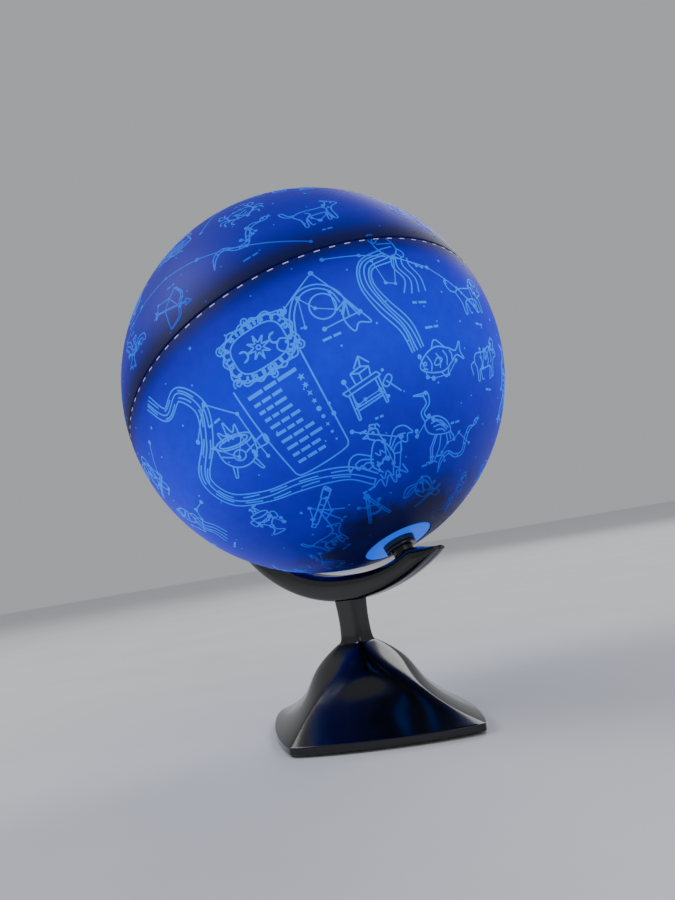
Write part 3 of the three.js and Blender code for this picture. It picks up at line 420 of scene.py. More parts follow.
# ---- the star print --------------------------------------------------------------------------
# Each figure is drawn flat in millimetres, x to the east and y to the north. A stroke is a
# list of points joined by a smooth curve, or by straight lines after "!"; "o x y rx ry" is an oval.
figures = {
    "fish": (
        ("-14 0, -9 5, -1 7, 7 4, 12 1.2, 17 5, 15.5 0, 17 -5, 12 -1.2, 7 -3.5, 0 -6, -9 -4, "
         "-14 0"),
        "-8 4.5, -6.5 0, -8 -3.6", "o -10.5 1 0.9 0.9", "-4 6.6, 0 10.5, 5 5.2", "-2 -5.9, 1 -9.5, 4 -4.8",
        "-2 4, -0.5 0, -2 -4", "3 4, 4.5 0, 3 -4", "7.5 2.6, 8.5 0, 7.5 -2.4",
        "-5 -1, -2 1.5, 1 0, -2 -2, -5 -1", "-13 -1.6, -11 -1.2, -10 -2.4"),
    "crane": (
        "-7 3, 0 6, 8 3, 12 -3, 4 -4.5, -4 -3, -7 3",
        "-7 3, -10 8, -7 13, -9 17, -8 19.5, -6 18, -5 13, -8 8, -5 4.6", "!-9 18.5, -16 17, -8.6 17",
        "o -7.6 18.2 0.4 0.4", "!1 -4.5, -1 -12, 1 -20, 2.2 -20, 0.4 -12, 2.2 -4.6",
        "!5 -4.4, 5.5 -12, 3.5 -20", "!-2 -20.8, 1 -20, 3 -21", "!1.5 -20.8, 3.5 -20, 6 -21",
        "-3 2, 3 3.5, 10 -1", "-1 0, 4 1, 9 -2", "1 -1.8, 5 -1.5, 8 -3", "12 -3, 16 -7",
        "11 -3.2, 13.5 -8", "9 -3.8, 11 -9"),
    "bench": (
        "!-15 3, 8 8, 10 5.5, -13 0.5, -15 3", "!-12 0.8, -11 -15, -9.6 -15, -10 1.2",
        "!6 4.6, 8 -11, 9.4 -11, 8.2 5.2", "!-11.4 -8, 7.6 -4.5", "!-9.6 -9.6, 7.8 -6",
        "!-6 5, -7 12, 0 14, 5 12.5, 4 7", "!-7 12, -2 10.6, 5 12.5", "!-2 10.6, -1.6 5.8", "!12 1, 19 -8",
        "14 4, 9.5 0, 12 -2.5, 16 1.5, 14 4", "!-4 14, 1 20, 6 14.4", "!1 20, 0 14"),
    "firebird": (
        "-3 -9, -7 -2, -4 6, 0 10, 4 6, 6 -2, 3 -9", "0 10, -3 13, -1 16.5, 3 15.5, 3 12, 4 6",
        "!-2.2 15, -6 14.2, -2.8 13", "o 0.4 14.4 0.5 0.5",
        "-5 3, -12 8, -17 6, -19 0, -16 2, -14 -1, -12 1, -10 -3, -6 -2", "-5 1, -11 4, -15 3",
        "-5.6 -1, -9 1, -12 0", "5 3, 11 10, 17 9, 20 3, 17 4, 15 0, 12 2, 10 -3, 6 -2", "5 1, 11 6, 16 5",
        "5.6 -1, 9 2, 13 2", "-8 -10, -11 -15, -6 -12, -5 -18, -1 -12, 1 -19, 4 -12, 9 -17, 8 -10",
        "-5 -9, -4 -13, -1 -9, 1 -14, 3 -9, 6 -12", "-3 4, -1 1, 0 4, 2 1, 3 4",
        "-4 -1, -2 -4, 0 -1, 2 -4, 4 -1", "1 16, 0 19, 3 18", "2 15.8, 4 18, 5 15.5"),
    "furnace": (
        "-11 4, -10 -4, -4 -9, 4 -9, 10 -4, 11 4", "o 0 4 11 3.2", "o 0 4 8.6 2.1",
        "!-7 -7.5, -9 -14, -7.6 -14, -5 -8.8", "!7 -7.5, 9 -14, 7.6 -14, 5 -8.8",
        "-5 5, -6 11, -2 8, -1 15, 2 8.5, 5 12, 5 5", "-2 5, -1 9, 1 5", "11 0, 17 1.5, 17 -3, 10.4 -3.6",
        "o 17 -0.8 1 2.3", "o 0 -3.4 3.4 2.8", "-10 -1, -4 -3.4", "4 -3.2, 10 -1"),
    "bigbeak": (
        "-4 -8, -7 0, -3 7, 3 8, 6 3, 5 -5, 0 -9, -4 -8", "-4 7, -11 8.5, -16 3, -14 1, -8 2.6, -5.8 4",
        "-15 2.2, -9 5.4, -4.6 5.6", "o -1 5.4 0.8 0.8", "1 5, 4 0, 3 -6, -1 -3, 1 5",
        "4 -6, 9 -15, 5 -16, 1 -8.8", "!-12 -12, 12 -9", "!-12 -13.4, 12 -10.4", "-2 -8.8, -3 -11, -1 -12",
        "1 -9, 0 -11, 2 -11.6"),
    "whale": (
        "-18 -9, -13 2, -5 10, 5 10, 12 4, 14 -4, 9 -12, 11 -20, 15 -17, 21 -19, 17 -10, 14 -4",
        "-15 -8, -11 1, -4 8, 4 8, 10 3, 11.4 -4", "o 3 -2 6.6 6.6", "!14 -4, 8 -7", "!14 -4, 9 -10",
        "!14 -4, 12 -12", "!14 -4, 17 -14", "-18 -9, -23 -6, -26 -10, -21 -14, -15 -8",
        "-20 -11, -18 -12.4, -17 -10", "o -20.6 -9 0.6 0.6"),
    "urn": (
        "-2 6, -7 9, -9 14, -6 18, 0 16, 2 10, -2 6", "o -8.4 16.4 2.2 2.8", "1 8, 4 6, 5 9, 2 11",
        "-2 6, -3 0, 1 -6, -1 -13", "0 6, -0.5 0, 4 -6, 3 -13", "3 6, 2.5 1, 7 -5, 7 -12",
        "6 6, 6 2, 10 -4, 11 -11", "-6 10, 0 12", "-7 13, 0.5 14"),
    "hound": (
        ("-14 3, -8 5, 2 4, 9 5, 12 9, 16 9, 18.5 6, 15 4, 12 2, 10 -2, 9 -10, 7 -10, 6 -3, "
         "0 -2, -8 -3, -11 -10, -13 -10, -12 -3, -14 3"),
        "-14 3, -18 6, -19 11, -17 11, -15.6 6, -12 4", "5 -3, 3 -10, 5 -10", "-8 -3, -8.6 -10, -6.6 -10",
        "12 9, 10 12.5, 14.4 9.6", "o 15 7.2 0.5 0.5", "-6 3, -4 0, -7 -2", "6 4, 8 1, 6 -2"),
    "bull": (
        ("-15 2, -12 6, -2 6, 6 8, 10 5, 15 5, 16 1, 12 0, 9 -3, 8 -10, 6 -10, 5 -4, -4 -4, "
         "-10 -4, -11 -10, -13 -10, -13 -3, -15 2"),
        "10 5, 9 10, 13 12", "13 5.4, 16 10, 12.4 13", "-15 2, -19 0, -18 -6", "4 -4, 2 -11, 4 -11",
        "-9 -4, -8 -10, -6 -10", "o 13 3.2 0.5 0.5", "-8 4, -6 0, -8 -3", "1 6, 3 1, 1 -3",
        "6 7, 8 2, 6 -2"),
    "lion": (
        ("-15 3, -9 5, 2 5, 6 9, 12 11, 17 8, 18 3, 15 0, 11 -1, 9 -10, 7 -10, 5 -3, -4 -2, "
         "-9 -4, -11 -10, -13 -10, -13 -3, -15 3"),
        "6 9, 4 5, 7 5, 5 1, 9 2, 8 -2, 12 0", "8 10, 9 6, 11 8, 12 5",
        "-15 3, -20 5, -21 10, -19 12, -20 9", "o 14 6 0.6 0.6", "16 4, 14 3, 15.6 2",
        "4 -3, 2 -10, 4 -10", "-8 -4, -7 -10, -5 -10"),
    "snake": (
        "-20 -6, -15 2, -8 3, -3 -4, 3 -6, 8 1, 14 5, 19 2",
        "-20 -6, -14 0, -8 0.6, -4 -6, 3 -8.6, 9 -1.6, 14 2.4, 19 2", "19 2, 21 4.6, 24 4, 23 1.6, 19 2",
        "!23.6 3, 26 4", "!23.6 3, 26 2", "o 21.6 3.4 0.4 0.4", "-12 2.6, -12 0.2", "-7 2.6, -8 0.4",
        "-1 -5, -2 -7.6", "6 -2, 7.4 -4", "11 3.6, 12 1.4"),
    "harp": (
        "-5 -9, -9 -2, -6 7, -10 13, -12 10", "5 -9, 9 -2, 6 7, 10 13, 12 10", "-3.4 -8, -7 -2, -4 7",
        "3.4 -8, 7 -2, 4 7", "!-7.6 7.6, 7.6 7.6", "!-7.4 9, 7.4 9", "!-3 7.6, -2 -8", "!-1 7.6, -0.7 -8",
        "!1 7.6, 0.7 -8", "!3 7.6, 2 -8", "-6 -9, 0 -7, 6 -9, 4 -12, -4 -12, -6 -9"),
    "ship": (
        "-16 -2, -12 -9, 9 -9, 16 -1, 10 -4, -8 -4, -16 -2", "!0 -4, 0 16", "0 14, 9 9, 8 1, 0 0",
        "0 14, -8 10, -8 3, 0 0", "!0 16, 5 15, 0 13.4", "-13 -6.4, 11 -6.4", "!-16 -2, 0 14",
        "!16 -1, 0 14", "!-7 -4, -7 4", "!7 -4, 7 3",
        "-18 -11, -14 -10, -10 -12, -6 -10.6, -2 -12, 2 -10.6, 6 -12, 10 -10.6, 15 -12"),
    "balance": (
        "!-12 9, 12 11, 12 12.2, -12 10.2, -12 9", "!-0.7 10, -0.7 -10", "!0.7 10, 0.7 -10",
        "-17 1, -12 -3, -7 1, -17 1", "!-12 9, -17 1", "!-12 9, -7 1", "7 3, 12 -1, 17 3, 7 3",
        "!12 11, 7 3", "!12 11, 17 3", "-6 -12, 0 -9, 6 -12, -6 -12", "o 0 12.6 1.6 1.6"),
    "bow": (
        "2 15, 9 8, 8 0, 9 -8, 2 -15", "3.4 15, 10.6 8, 9.6 0, 10.6 -8, 3.4 -15", "!2.4 15, -4 0, 2.4 -15",
        "!-12 0.4, 15 0.4", "!-12 -0.4, 15 -0.4", "!14 2.6, 19 0, 14 -2.6, 14 2.6", "!-12 0, -15 2.8",
        "!-10 0, -13 2.8", "!-12 0, -15 -2.8", "!-10 0, -13 -2.8"),
    "spyglass": (
        "!-14 -3, 8 5, 9.4 1.6, -12.6 -6.4, -14 -3", "!8 5.6, 15 8.4, 17 3.6, 9.6 1", "o 16 6 1.2 2.6",
        "!-13.6 -3.4, -17 -4.4, -16 -7, -12.8 -6", "!-2 -1, -9 -15", "!-1 -1, 0 -16", "!0 -0.6, 9 -13",
        "!-5.6 -8, 4.6 -7", "!-2 1.4, -1 -2", "!3 3.2, 4 -0.4"),
    "compass": (
        "!-1 12, -9 -13, -7.4 -13, 0.4 10", "!1 12, 9 -13, 7.4 -13, -0.4 10", "o 0 12.6 2 2",
        "o 0 12.6 0.8 0.8", "-6.4 -4, 0 -6.4, 6.4 -4", "-6 -2.6, 0 -5, 6 -2.6", "!0 14.6, 0 18"),
    "crown": (
        "!-9 -5, -12 6, -5.6 0, 0 10, 5.6 0, 12 6, 9 -5", "-9 -5, 0 -7.4, 9 -5", "-9.4 -3, 0 -5.4, 9.4 -3",
        "o 0 11.4 1.2 1.2", "o -12.6 7.4 1 1", "o 12.6 7.4 1 1", "o 0 -1 1.6 2.2", "o -5 -2 1 1.4",
        "o 5 -2 1 1.4"),
    "cup": (
        "-8 10, -7 3, -2 -1, -1 -7, -6 -11, 6 -11, 1 -7, 2 -1, 7 3, 8 10", "o 0 10 8 2.2",
        "-8 8, -12 7, -11 2, -6.6 3", "8 8, 12 7, 11 2, 6.6 3", "-7.2 5, 0 2.4, 7.2 5", "-3 2, 0 4, 3 2",
        "o 0 -3 1.8 1.2", "-3 13, -2 16, 0 13, 1 17, 3 13"),
    "eagle": (
        "-2 -6, -3 2, 0 7, 3 2, 2 -6", "0 7, -2 9, -1 12, 2 12, 2.6 9, 1.6 6", "!-1.6 11, -4.6 10, -2 9.4",
        "-2.6 3, -9 9, -17 10, -20 5, -16 5, -14 2, -11 3, -9 0, -3 -2",
        "2.6 3, 9 9, 17 10, 20 5, 16 5, 14 2, 11 3, 9 0, 3 -2", "-4 2, -10 6, -16 7", "4 2, 10 6, 16 7",
        "-2 -6, -6 -13, -2 -11, 0 -14, 2 -11, 6 -13, 2 -6", "-1.6 -1, 0 -3, 1.6 -1", "-1.4 2, 0 0, 1.4 2",
        "o 0.2 10.4 0.4 0.4"),
    "crab": (
        "-9 0, -6 6, 6 6, 9 0, 4 -6, -4 -6, -9 0", "-8 4, -13 8, -11 13, -9 10, -7 12, -9 7, -6 5",
        "8 4, 13 8, 11 13, 9 10, 7 12, 9 7, 6 5", "-9 0, -14 2, -16 -2", "-8 -3, -13 -2, -14 -7",
        "-6 -5, -10 -7, -9 -11", "9 0, 14 2, 16 -2", "8 -3, 13 -2, 14 -7", "6 -5, 10 -7, 9 -11",
        "o -2.4 7.4 0.7 0.7", "o 2.4 7.4 0.7 0.7", "-5 2, 0 0, 5 2", "-4 -2, 0 -4, 4 -2"),
}

rng = np.random.default_rng(11)
strokes = []          # (points as directions from the globe's centre, width)
stars = []            # (direction, radii of its points, turn)
spots = []            # directions of the places that are taken


def numbers(text):
    return np.array([[float(n) for n in pair.split()] for pair in text.split(",")])


def evenly(points, step):
    """The same path with points at even steps along its length."""
    run = np.concatenate([[0], np.cumsum(np.linalg.norm(np.diff(points, axis=0), axis=1))])
    at = np.linspace(0, run[-1], max(2, math.ceil(run[-1] / step) + 1))
    return np.stack([np.interp(at, run, points[:, k]) for k in range(points.shape[1])], -1)


def smooth(points, step=1.0):
    """A Catmull-Rom curve: between b and c it is half of 2b + (c-a)t + (2a-5b+4c-d)t^2 + (3b-a-3c+d)t^3."""
    points = np.asarray(points, float)
    if len(points) > 2:
        loop = np.allclose(points[0], points[-1])
        first = points[-2] if loop else 2 * points[0] - points[1]
        last = points[1] if loop else 2 * points[-1] - points[-2]
        p = np.vstack([first, points, last])
        a, b, c, d = p[:-3, None], p[1:-2, None], p[2:-1, None], p[3:, None]
        t = np.linspace(0, 1, 12, endpoint=False)[None, :, None]
        bend, curl = 2 * a - 5 * b + 4 * c - d, 3 * b - a - 3 * c + d
        curve = 0.5 * (2 * b + (c - a) * t + bend * t ** 2 + curl * t ** 3)
        points = np.vstack([curve.reshape(-1, points.shape[1]), points[-1:]])
    return evenly(points, step)


def oval(x, y, rx, ry):
    angle = np.linspace(0, 2 * np.pi, max(9, math.ceil(7 * max(rx, ry)) + 1))
    return np.stack([x + rx * np.cos(angle), y + ry * np.sin(angle)], -1)


def drawn(stroke):
    if stroke.startswith("o"):
        return oval(*numbers(stroke[1:])[0])
    if stroke.startswith("!"):
        return evenly(numbers(stroke[1:]), 1.0)
    return smooth(numbers(stroke))


def direction(latitude, longitude):
    latitude, longitude = np.radians(latitude), np.radians(longitude)
    return np.stack([np.cos(latitude) * np.cos(longitude), np.cos(latitude) * np.sin(longitude),
                     np.sin(latitude)], -1)


def on_globe(flat, latitude, longitude, turn=0.0, scale=1.0):
    """A flat drawing laid on the globe round a place: a point's distance from the drawing's centre
    becomes the arc's length, and its bearing stays."""
    turn = math.radians(turn)
    x = scale * (flat[:, 0] * math.cos(turn) - flat[:, 1] * math.sin(turn))
    y = scale * (flat[:, 0] * math.sin(turn) + flat[:, 1] * math.cos(turn))
    arc = np.maximum(np.hypot(x, y), 1e-9) / globe_radius
    lat, lon = math.radians(latitude), math.radians(longitude)
    east = np.array([-math.sin(lon), math.cos(lon), 0])
    north = np.array([-math.sin(lat) * math.cos(lon), -math.sin(lat) * math.sin(lon), math.cos(lat)])
    reach = (np.sin(arc) / arc / globe_radius)[:, None]
    return direction(latitude, longitude) * np.cos(arc)[:,
                                                        None] + (x[:, None] * east + y[:,
            None] * north) * reach


def draw(flat, where, width=print_width):
    strokes.append((on_globe(flat, *where), width))


def words(x, y, lengths, where, width=1.3):
    """A run of short plain bars with gaps between them, as a caption's place."""
    for length in lengths:
        draw(evenly(np.array([[x, y], [x + length, y]]), 1.0), where, width)
        x += length + 1.0


def star(flat, where, radii, turn=0.0):
    stars.append((on_globe(np.array([flat], float), *where)[0], np.asarray(radii, float), turn))


def chain(points, where):
    """Stars joined by straight lines."""
    points = np.asarray(points, float)
    draw(evenly(points, 1.2), where, 0.6)
    for point in points:
        star(point, where, np.full(10, rng.uniform(0.9, 1.4)))


def figure(name, latitude, longitude, turn=0.0, scale=1.0, tail=False):
    """A figure of the library, with a chain of stars through it and a caption's bars above or below
    it; a tail carries the chain out past its side."""
    where = (latitude, longitude, turn, scale)
    spots.append(direction(latitude, longitude))
    for stroke in figures[name]:
        draw(drawn(stroke), where)
    x = np.sort(rng.uniform(-13, 13, 5))
    if tail:
        x = np.append(x, rng.uniform(18, 25))
    chain(np.stack([x, rng.uniform(-9, 9, len(x))], -1), where)
    words(rng.uniform(-8, 2), -17.5 if rng.random() < 0.5 else 17, rng.uniform(2, 5, 2),
          (latitude, longitude, turn * 0.3, scale))


def long_chain(places):
    """Stars over the globe joined by great-circle lines: even steps along the chords, pushed out to
    the sphere."""
    points = direction(*np.array(places, float).T)
    line = evenly(points * globe_radius, 1.0)
    strokes.append((line / np.linalg.norm(line, axis=1, keepdims=True), 0.75))
    for point in points:
        stars.append((point, np.full(12, rng.uniform(1.0, 1.5)), 0.0))


def stream(places, count, spacing, broken=False):
    """Lines side by side along a path over the globe: each is the path moved sideways by its own
    share of the spacing, with a slow ripple of a fifth of it."""
    path = smooth(direction(*np.array(places, float).T) * globe_radius, 1.2) / globe_radius
    path /= np.linalg.norm(path, axis=1, keepdims=True)
    side = np.cross(path, np.gradient(path, axis=0))
    side /= np.linalg.norm(side, axis=1, keepdims=True)
    run = np.arange(len(path))
    for k in range(count):
        offset = ((k - (count - 1) / 2) + 0.2 * np.sin(run / 7.0 + 2 * k)) * spacing / globe_radius
        line = path + side * offset[:, None]
        line /= np.linalg.norm(line, axis=1, keepdims=True)
        if broken and k % 2:
            for start in range(0, len(line) - 9, 13):
                strokes.append((line[start:start + 9], print_width))
        else:
            strokes.append((line, print_width))


def scroll_frame(where):
    """An oval scroll: two squared ovals, a wavy one, and a chain of loops, each point of the chain
    circling the oval sixteen times as it goes round."""
    angle = np.linspace(0, 2 * np.pi, 260)

    def squared(a, b, n=3.2):
        reach = (np.abs(np.cos(angle) / a) ** n + np.abs(np.sin(angle) / b) ** n) ** (-1 / n)
        return np.stack([reach * np.cos(angle), reach * np.sin(angle)], -1)

    draw(squared(13.6, 9.4), where)
    wave = 1 + 0.045 * np.sin(15 * angle)
    draw(squared(18, 13.6) * wave[:, None], where)
    for loops, size, phase in ((16, 1.7, 0.0), (23, 1.2, 1.0)):
        circling = size * np.stack([np.cos(loops * angle + phase), np.sin(loops * angle + phase)], -1)
        draw(squared(15.8, 11.5) + circling, where)
    for x, y, turn in ((-17, 9, 0.5), (17, 9, 2.6), (-17, -9, 5.6), (17, -9, 3.8), (0, 14.4, 1.57),
                       (0, -14.4, 4.7)):
        t = np.linspace(0.5, 3.4 * np.pi, 60)
        curl = 0.24 * t[:, None] * np.stack([np.cos(t + turn), np.sin(t + turn)], -1)
        draw(np.array([x, y]) + curl, where)


def title_scroll(where):
    """The scroll frame round a plain eight-rayed star between two crescents."""
    scroll_frame(where)
    angle = np.linspace(0, 2 * np.pi, 17) + np.pi / 2
    reach = np.where(np.arange(17) % 2, 2.1, 6.2)
    draw(evenly(np.stack([reach * np.cos(angle), reach * np.sin(angle)], -1), 1.0), where)
    draw(oval(0, 0, 1.1, 1.1), where)
    for side in (-1, 1):
        outer = np.linspace(-1.9, 1.9, 14)
        moon = np.vstack([np.stack([side * (8.6 - 2.6 * np.cos(outer)), 2.6 * np.sin(outer)], -1),
                          np.stack([side * (8.0 - 1.7 * np.cos(outer[::-1])), 2.2 * np.sin(outer[::-1])],
                                   -1)])
        draw(evenly(moon, 0.7), where)


def star_key(where):
    """A panel with plain bars for its lines and one sign for each size of star."""
    panel = numbers("-18.6 25, -17.6 5, -15.6 -19, -14.9 -23.6, -12 -25.2, 0 -25.6, "
                    "11.4 -25, 14 -23.2, 14.8 -19, 17 5, 18.6 25")
    draw(smooth(panel), where)
    star((15.9, -8), where, np.full(10, 1.2))
    signs = [
        np.tile([2.1, 0.85], 5), np.tile([1.8, 0.75], 6), np.tile([1.9, 0.6], 4), np.tile([1.5, 0.7], 5),
        np.full(12, 1.3), np.full(10, 1.0), np.tile([1.3, 0.5], 4), np.full(10, 0.8), np.full(10, 0.6),
    ]
    words(-14, 18.4, (8, 6.5, 10), where, 2.0)
    for row, sign in enumerate(signs):
        y = 14 - 4.1 * row
        left = -13.4 + 0.32 * row
        words(left, y, rng.uniform(3, 6.5, 3), where, 1.7)
        star((12.4 - 0.25 * row, y), where, sign, 0.4)


# The side that faces the reader.
title_scroll((-16.5, -59, 0, 1.0))
star_key((-34.5, -60.5, 0, 1.0))
for name, *where in (
        ("whale", -14, -42.5, 4, 0.95), ("urn", -10, -18, -8, 1.1), ("fish", -34, -13, 14, 0.95),
        ("crane", -50, -17, -6, 0.9), ("bench", -36.5, -38.5, 0, 0.8), ("firebird", -53, -41, 6, 0.92),
        ("furnace", -32, -80, -18, 0.95), ("bigbeak", -66, -20, 30, 0.75), ("compass", -66, -55, 0, 0.7),
        ("spyglass", -57, -76, 10, 0.75)):
    figure(name, *where)
stream([(-6, -20), (-8, -26.5), (-13, -28.5), (-19, -26.5), (-25, -22.5), (-31, -20.5)], 5, 1.9)
stream([(-6, -95), (-13, -91), (-12, -84), (-19, -80.5), (-26, -86), (-31, -96), (-39, -96), (-45, -86),
        (-48, -74), (-50.5, -64), (-53.5, -55), (-58, -47)], 5, 1.7, broken=True)
long_chain([(17, -97), (20, -86), (19.5, -74), (16, -63), (10, -50), (2.8, -36)])
long_chain([(-3.5, -36), (-5, -27), (-7, -18), (-10, -9), (-15, 0), (-20, 8)])
long_chain([(-12, -50), (-6, -40), (-19, -33), (-20, -43)])
long_chain([(-24, -88), (-19, -79), (-26, -73), (-38, -74)])
long_chain([(28, -60), (40, -52), (37, -38), (47, -28), (52, -44)])
long_chain([(-44, -48), (-50, -32), (-60, -36)])
for name, *where in (
        ("bow", 8, -75, -24, 0.8), ("snake", 13.5, -52, 18, 0.9), ("harp", 27, -92, -20, 0.85),
        ("ship", 33, -70, -30, 0.85), ("crab", 26, -47, 10, 0.8), ("balance", 36, -25, 16, 0.85),
        ("hound", 13, -30, 8, 0.85), ("cup", 52, -62, 20, 0.8), ("eagle", 10, -93, -30, 0.7),
        ("lion", -16, 6, 16, 0.9), ("bull", -33, 10, 20, 0.85), ("snake", -56, -2, 40, 0.8),
        ("hound", -66, -92, -10, 0.7), ("cup", -50, -97, -20, 0.7)):
    figure(name, *where)

# Round the rest of the globe, in bands of (latitude, places, first longitude): a figure at every
# place that is far enough from those above, and from the frame, the key and the streams.
spots += list(direction(*np.array([(-16.5, -59), (-34.5, -60.5), (-45, -60), (-22, -24), (-38, -94),
                                   (-12, -88)], float).T))
bands = ((13, 14, 3), (-13, 14, 12), (-35, 12, 0), (36, 12, 8), (-56, 9, 10), (58, 8, 0), (-71, 7, 20),
         (76, 4, 30))
library = sorted(figures)
order = 0
for latitude, count, shift in bands:
    room = 14 if abs(latitude) < 60 else 12
    scale = 1.02 if abs(latitude) < 50 else 0.8
    for longitude in shift + np.arange(count) * 360 / count:
        if (np.array(spots) @ direction(latitude, longitude)).max() < math.cos(math.radians(room)):
            name = library[order * 5 % len(library)]
            figure(name, latitude, longitude, rng.uniform(-25, 25), scale, tail=True)
            order += 1

# Small stars between the figures, spread over the sphere by equal steps of the golden angle.
n = np.arange(420)
height = 1 - 2 * (n + 0.5) / len(n)
golden = n * math.pi * (3 - math.sqrt(5))
level = np.sqrt(1 - height ** 2)
scattered = np.stack([level * np.cos(golden), level * np.sin(golden), height], -1)
scattered += rng.normal(0, 0.03, scattered.shape)
scattered /= np.linalg.norm(scattered, axis=1, keepdims=True)
for spot, size in zip(scattered, rng.choice([0.45, 0.6, 0.9], len(n), p=[0.5, 0.35, 0.15])):
    stars.append((spot, np.full(8, size), 0.0))


def tape(path, width, low=globe_radius - 0.06, high=globe_radius + print_proud):
    """A thin closed tape on the sphere: at each point of the path four corners, two under the surface
    at the full width and two above it a little closer."""
    tangent = np.gradient(path, axis=0)
    side = np.cross(path, tangent)
    side /= np.linalg.norm(side, axis=1, keepdims=True)
    half = width / 2
    corners = np.stack([path * low + side * half, path * high + side * half * 0.75,
                        path * high - side * half * 0.75, path * low - side * half], 1)
    faces = grid_faces(len(path), 4, False, True).tolist()
    last = 4 * (len(path) - 1)
    return corners.reshape(-1, 3), faces + [[3, 2, 1, 0], [last, last + 1, last + 2, last + 3]]


def spangle(spot, radii, turn, low=globe_radius - 0.08, high=globe_radius + print_proud + 0.03):
    """A flat star or dot on the sphere: its points lie at the given radii round the spot, under the
    surface and again above it at nine tenths, closed by a point in the middle."""
    east = np.cross((0, 0, 1), spot)
    east /= max(np.linalg.norm(east), 1e-9)
    north = np.cross(spot, east)
    angle = np.linspace(0, 2 * np.pi, len(radii), endpoint=False) + turn
    rim = radii[:, None] * (np.cos(angle)[:, None] * east + np.sin(angle)[:, None] * north)
    points = np.vstack([spot * low + rim, spot * high + 0.9 * rim, spot[None] * (high + 0.02)])
    count = len(radii)
    k = np.arange(count)
    after = (k + 1) % count
    sides = np.stack([k, after, after + count, k + count], -1).tolist()
    top = np.stack([k + count, after + count, np.full(count, 2 * count)], -1).tolist()
    return points, sides + top + [k[::-1].tolist()]


def joined(name, parts):
    """One mesh of many small closed parts, each a pair of points and faces, laid out on the globe's
    axis."""
    points, faces, count = [], [], 0
    for part_points, part_faces in parts:
        points.append(part_points)
        faces += [[index + count for index in face] for face in part_faces]
        count += len(part_points)
    return solid(name, placed(on_axis, np.vstack(points)), faces, crease=60, even=False)


def print_piece(name, side):
    """The strokes and stars of one half, cut short of the seam and of the hole round the pole."""
    lowest = 1.1 / globe_radius
    hole = pole_ring_radius if side < 0 else north_hole_radius
    highest = math.sin(math.acos((hole + 2.0) / globe_radius))
    parts = []
    for path, width in strokes:
        inside_half = (path[:, 2] * side > lowest) & (path[:, 2] * side < highest)
        edges = np.flatnonzero(np.diff(np.concatenate([[0], inside_half.astype(int), [0]])))
        for start, end in zip(edges[::2], edges[1::2]):
            if end - start > 1:
                parts.append(tape(path[start:end], width))
    for spot, radii, turn in stars:
        if lowest + radii.max() / globe_radius < spot[2] * side < highest - radii.max() / globe_radius:
            parts.append(spangle(spot, radii, turn))
    return joined(name, parts)


fit(print_piece("star_print_north", 1), "globe", clear_line, "globe_shell")
fit(print_piece("star_print_south", -1), "globe", clear_line, "globe_shell")


def seam_glints():
    """Short pale bars side by side just south of the seam, at even steps round it: painted glints of lamp
    light.
    """
    parts = []
    for longitude in np.arange(0, 360, seam_glint_step):
        path = direction(np.full(5, -0.62), longitude + np.linspace(-0.75, 0.75, 5))
        parts.append(tape(path, 0.7, globe_radius - 0.3, globe_radius + 0.05))
    return joined("seam_glint_bars", parts)


fit(seam_glints(), "globe", seam_glint_glow, "globe_shell")


# ---- stem, cap and lamp ----------------------------------------------------------------------
fit(turned("stem_tube", [(2.3, -124), (6.4, -124), (6.4, -122.6), (5, -122.6), (5, -120.4), (6, -120.4),
                         (6, -88), (2.3, -88)], on_axis, 0.3), "stand", stem_enamel, "stem_paint",
    "south_stem")
fit(turned("spacer_collar", [(6.3, -117.4), (9.0, -117.4), (9.0, -115.8), (6.3, -115.8)], on_axis, 0.5),
    "stand", gloss_abs, "stand_gloss", "stem_collar")
fit(turned("top_pin", [(0, 104), (3, 104), (3, 134.7), (0, 134.7)], on_axis, 0.5), "stand", zinc_steel,
    "steel", "north_pin")
fit(turned("top_cap", [(0, 135.0), (3.3, 135.0), (3.3, 133.0), (6, 133.0), (6, 134.6), (5.2, 135.9),
                       (4.3, 136.4), (0, 137.0)], on_axis, 0.6), "stand", gloss_abs, "stand_gloss",
    "north_cap")
fit(turned("lamp_cup", [(6.3, -96), (7.9, -96), (14, -88), (14, -76), (12.4, -76), (12.4, -86.1),
                        (2.3, -86.1), (2.3, -87.7), (6.3, -87.7)], on_axis, 0.35), "stand", satin_abs,
    "stand_matte", "lamp_holder")
fit(refined("lamp_circuit_board", "lamp_board", 0.15), "stand", solder_mask, "board", "lamp_board")


def dome(radius):
    """A quarter circle of (radius, height), from the dome's rim almost to its top."""
    return [(radius * math.cos(a), -74.5 + radius * math.sin(a)) for a in np.linspace(0, np.pi / 2, 20)[:-1]]


fit(turned("lamp_dome", [(0, -60.2), *dome(14.3)[::-1], (14.3, -81), (15.5, -81), *dome(15.5), (0, -59.0)],
           on_axis, 0, 96), "stand", opal, "diffuser", "lamp_diffuser")
for index in range(3):
    angle = 2 * math.pi * index / 3
    on_lamp = seat(placed(on_axis,
                          np.array([lamp_circle * math.cos(angle), lamp_circle * math.sin(angle), 0])),
                   spin["axis"])
    fit(turned(f"lamp_lens_{index + 1}",
               [(0, -74.4), (1.8, -74.4), (1.8, -73.4), (1.5, -72.9), (0.8, -72.72), (0, -72.7)], on_lamp,
               0.2, 40), "stand", lens, "led", f"led_{index + 1}")


# ---- foot ------------------------------------------------------------------------------------
def foot_section(z):
    """Half length, half width and squareness at a height: both reach out from the top as the share s
    of the way down grows, the length gaining a last fifth at the brim by s^6, and the squareness
    falls from 6 to 1.22 by (1-s)^4."""
    s = np.clip((foot_height - z) / (foot_height - foot_rim_top), 0, 1)
    return 9.5 + 70.5 * (0.78 * s + 0.22 * s ** 6), 7 + 53.5 * s ** 0.95, 1.22 + 4.78 * (1 - s) ** 4


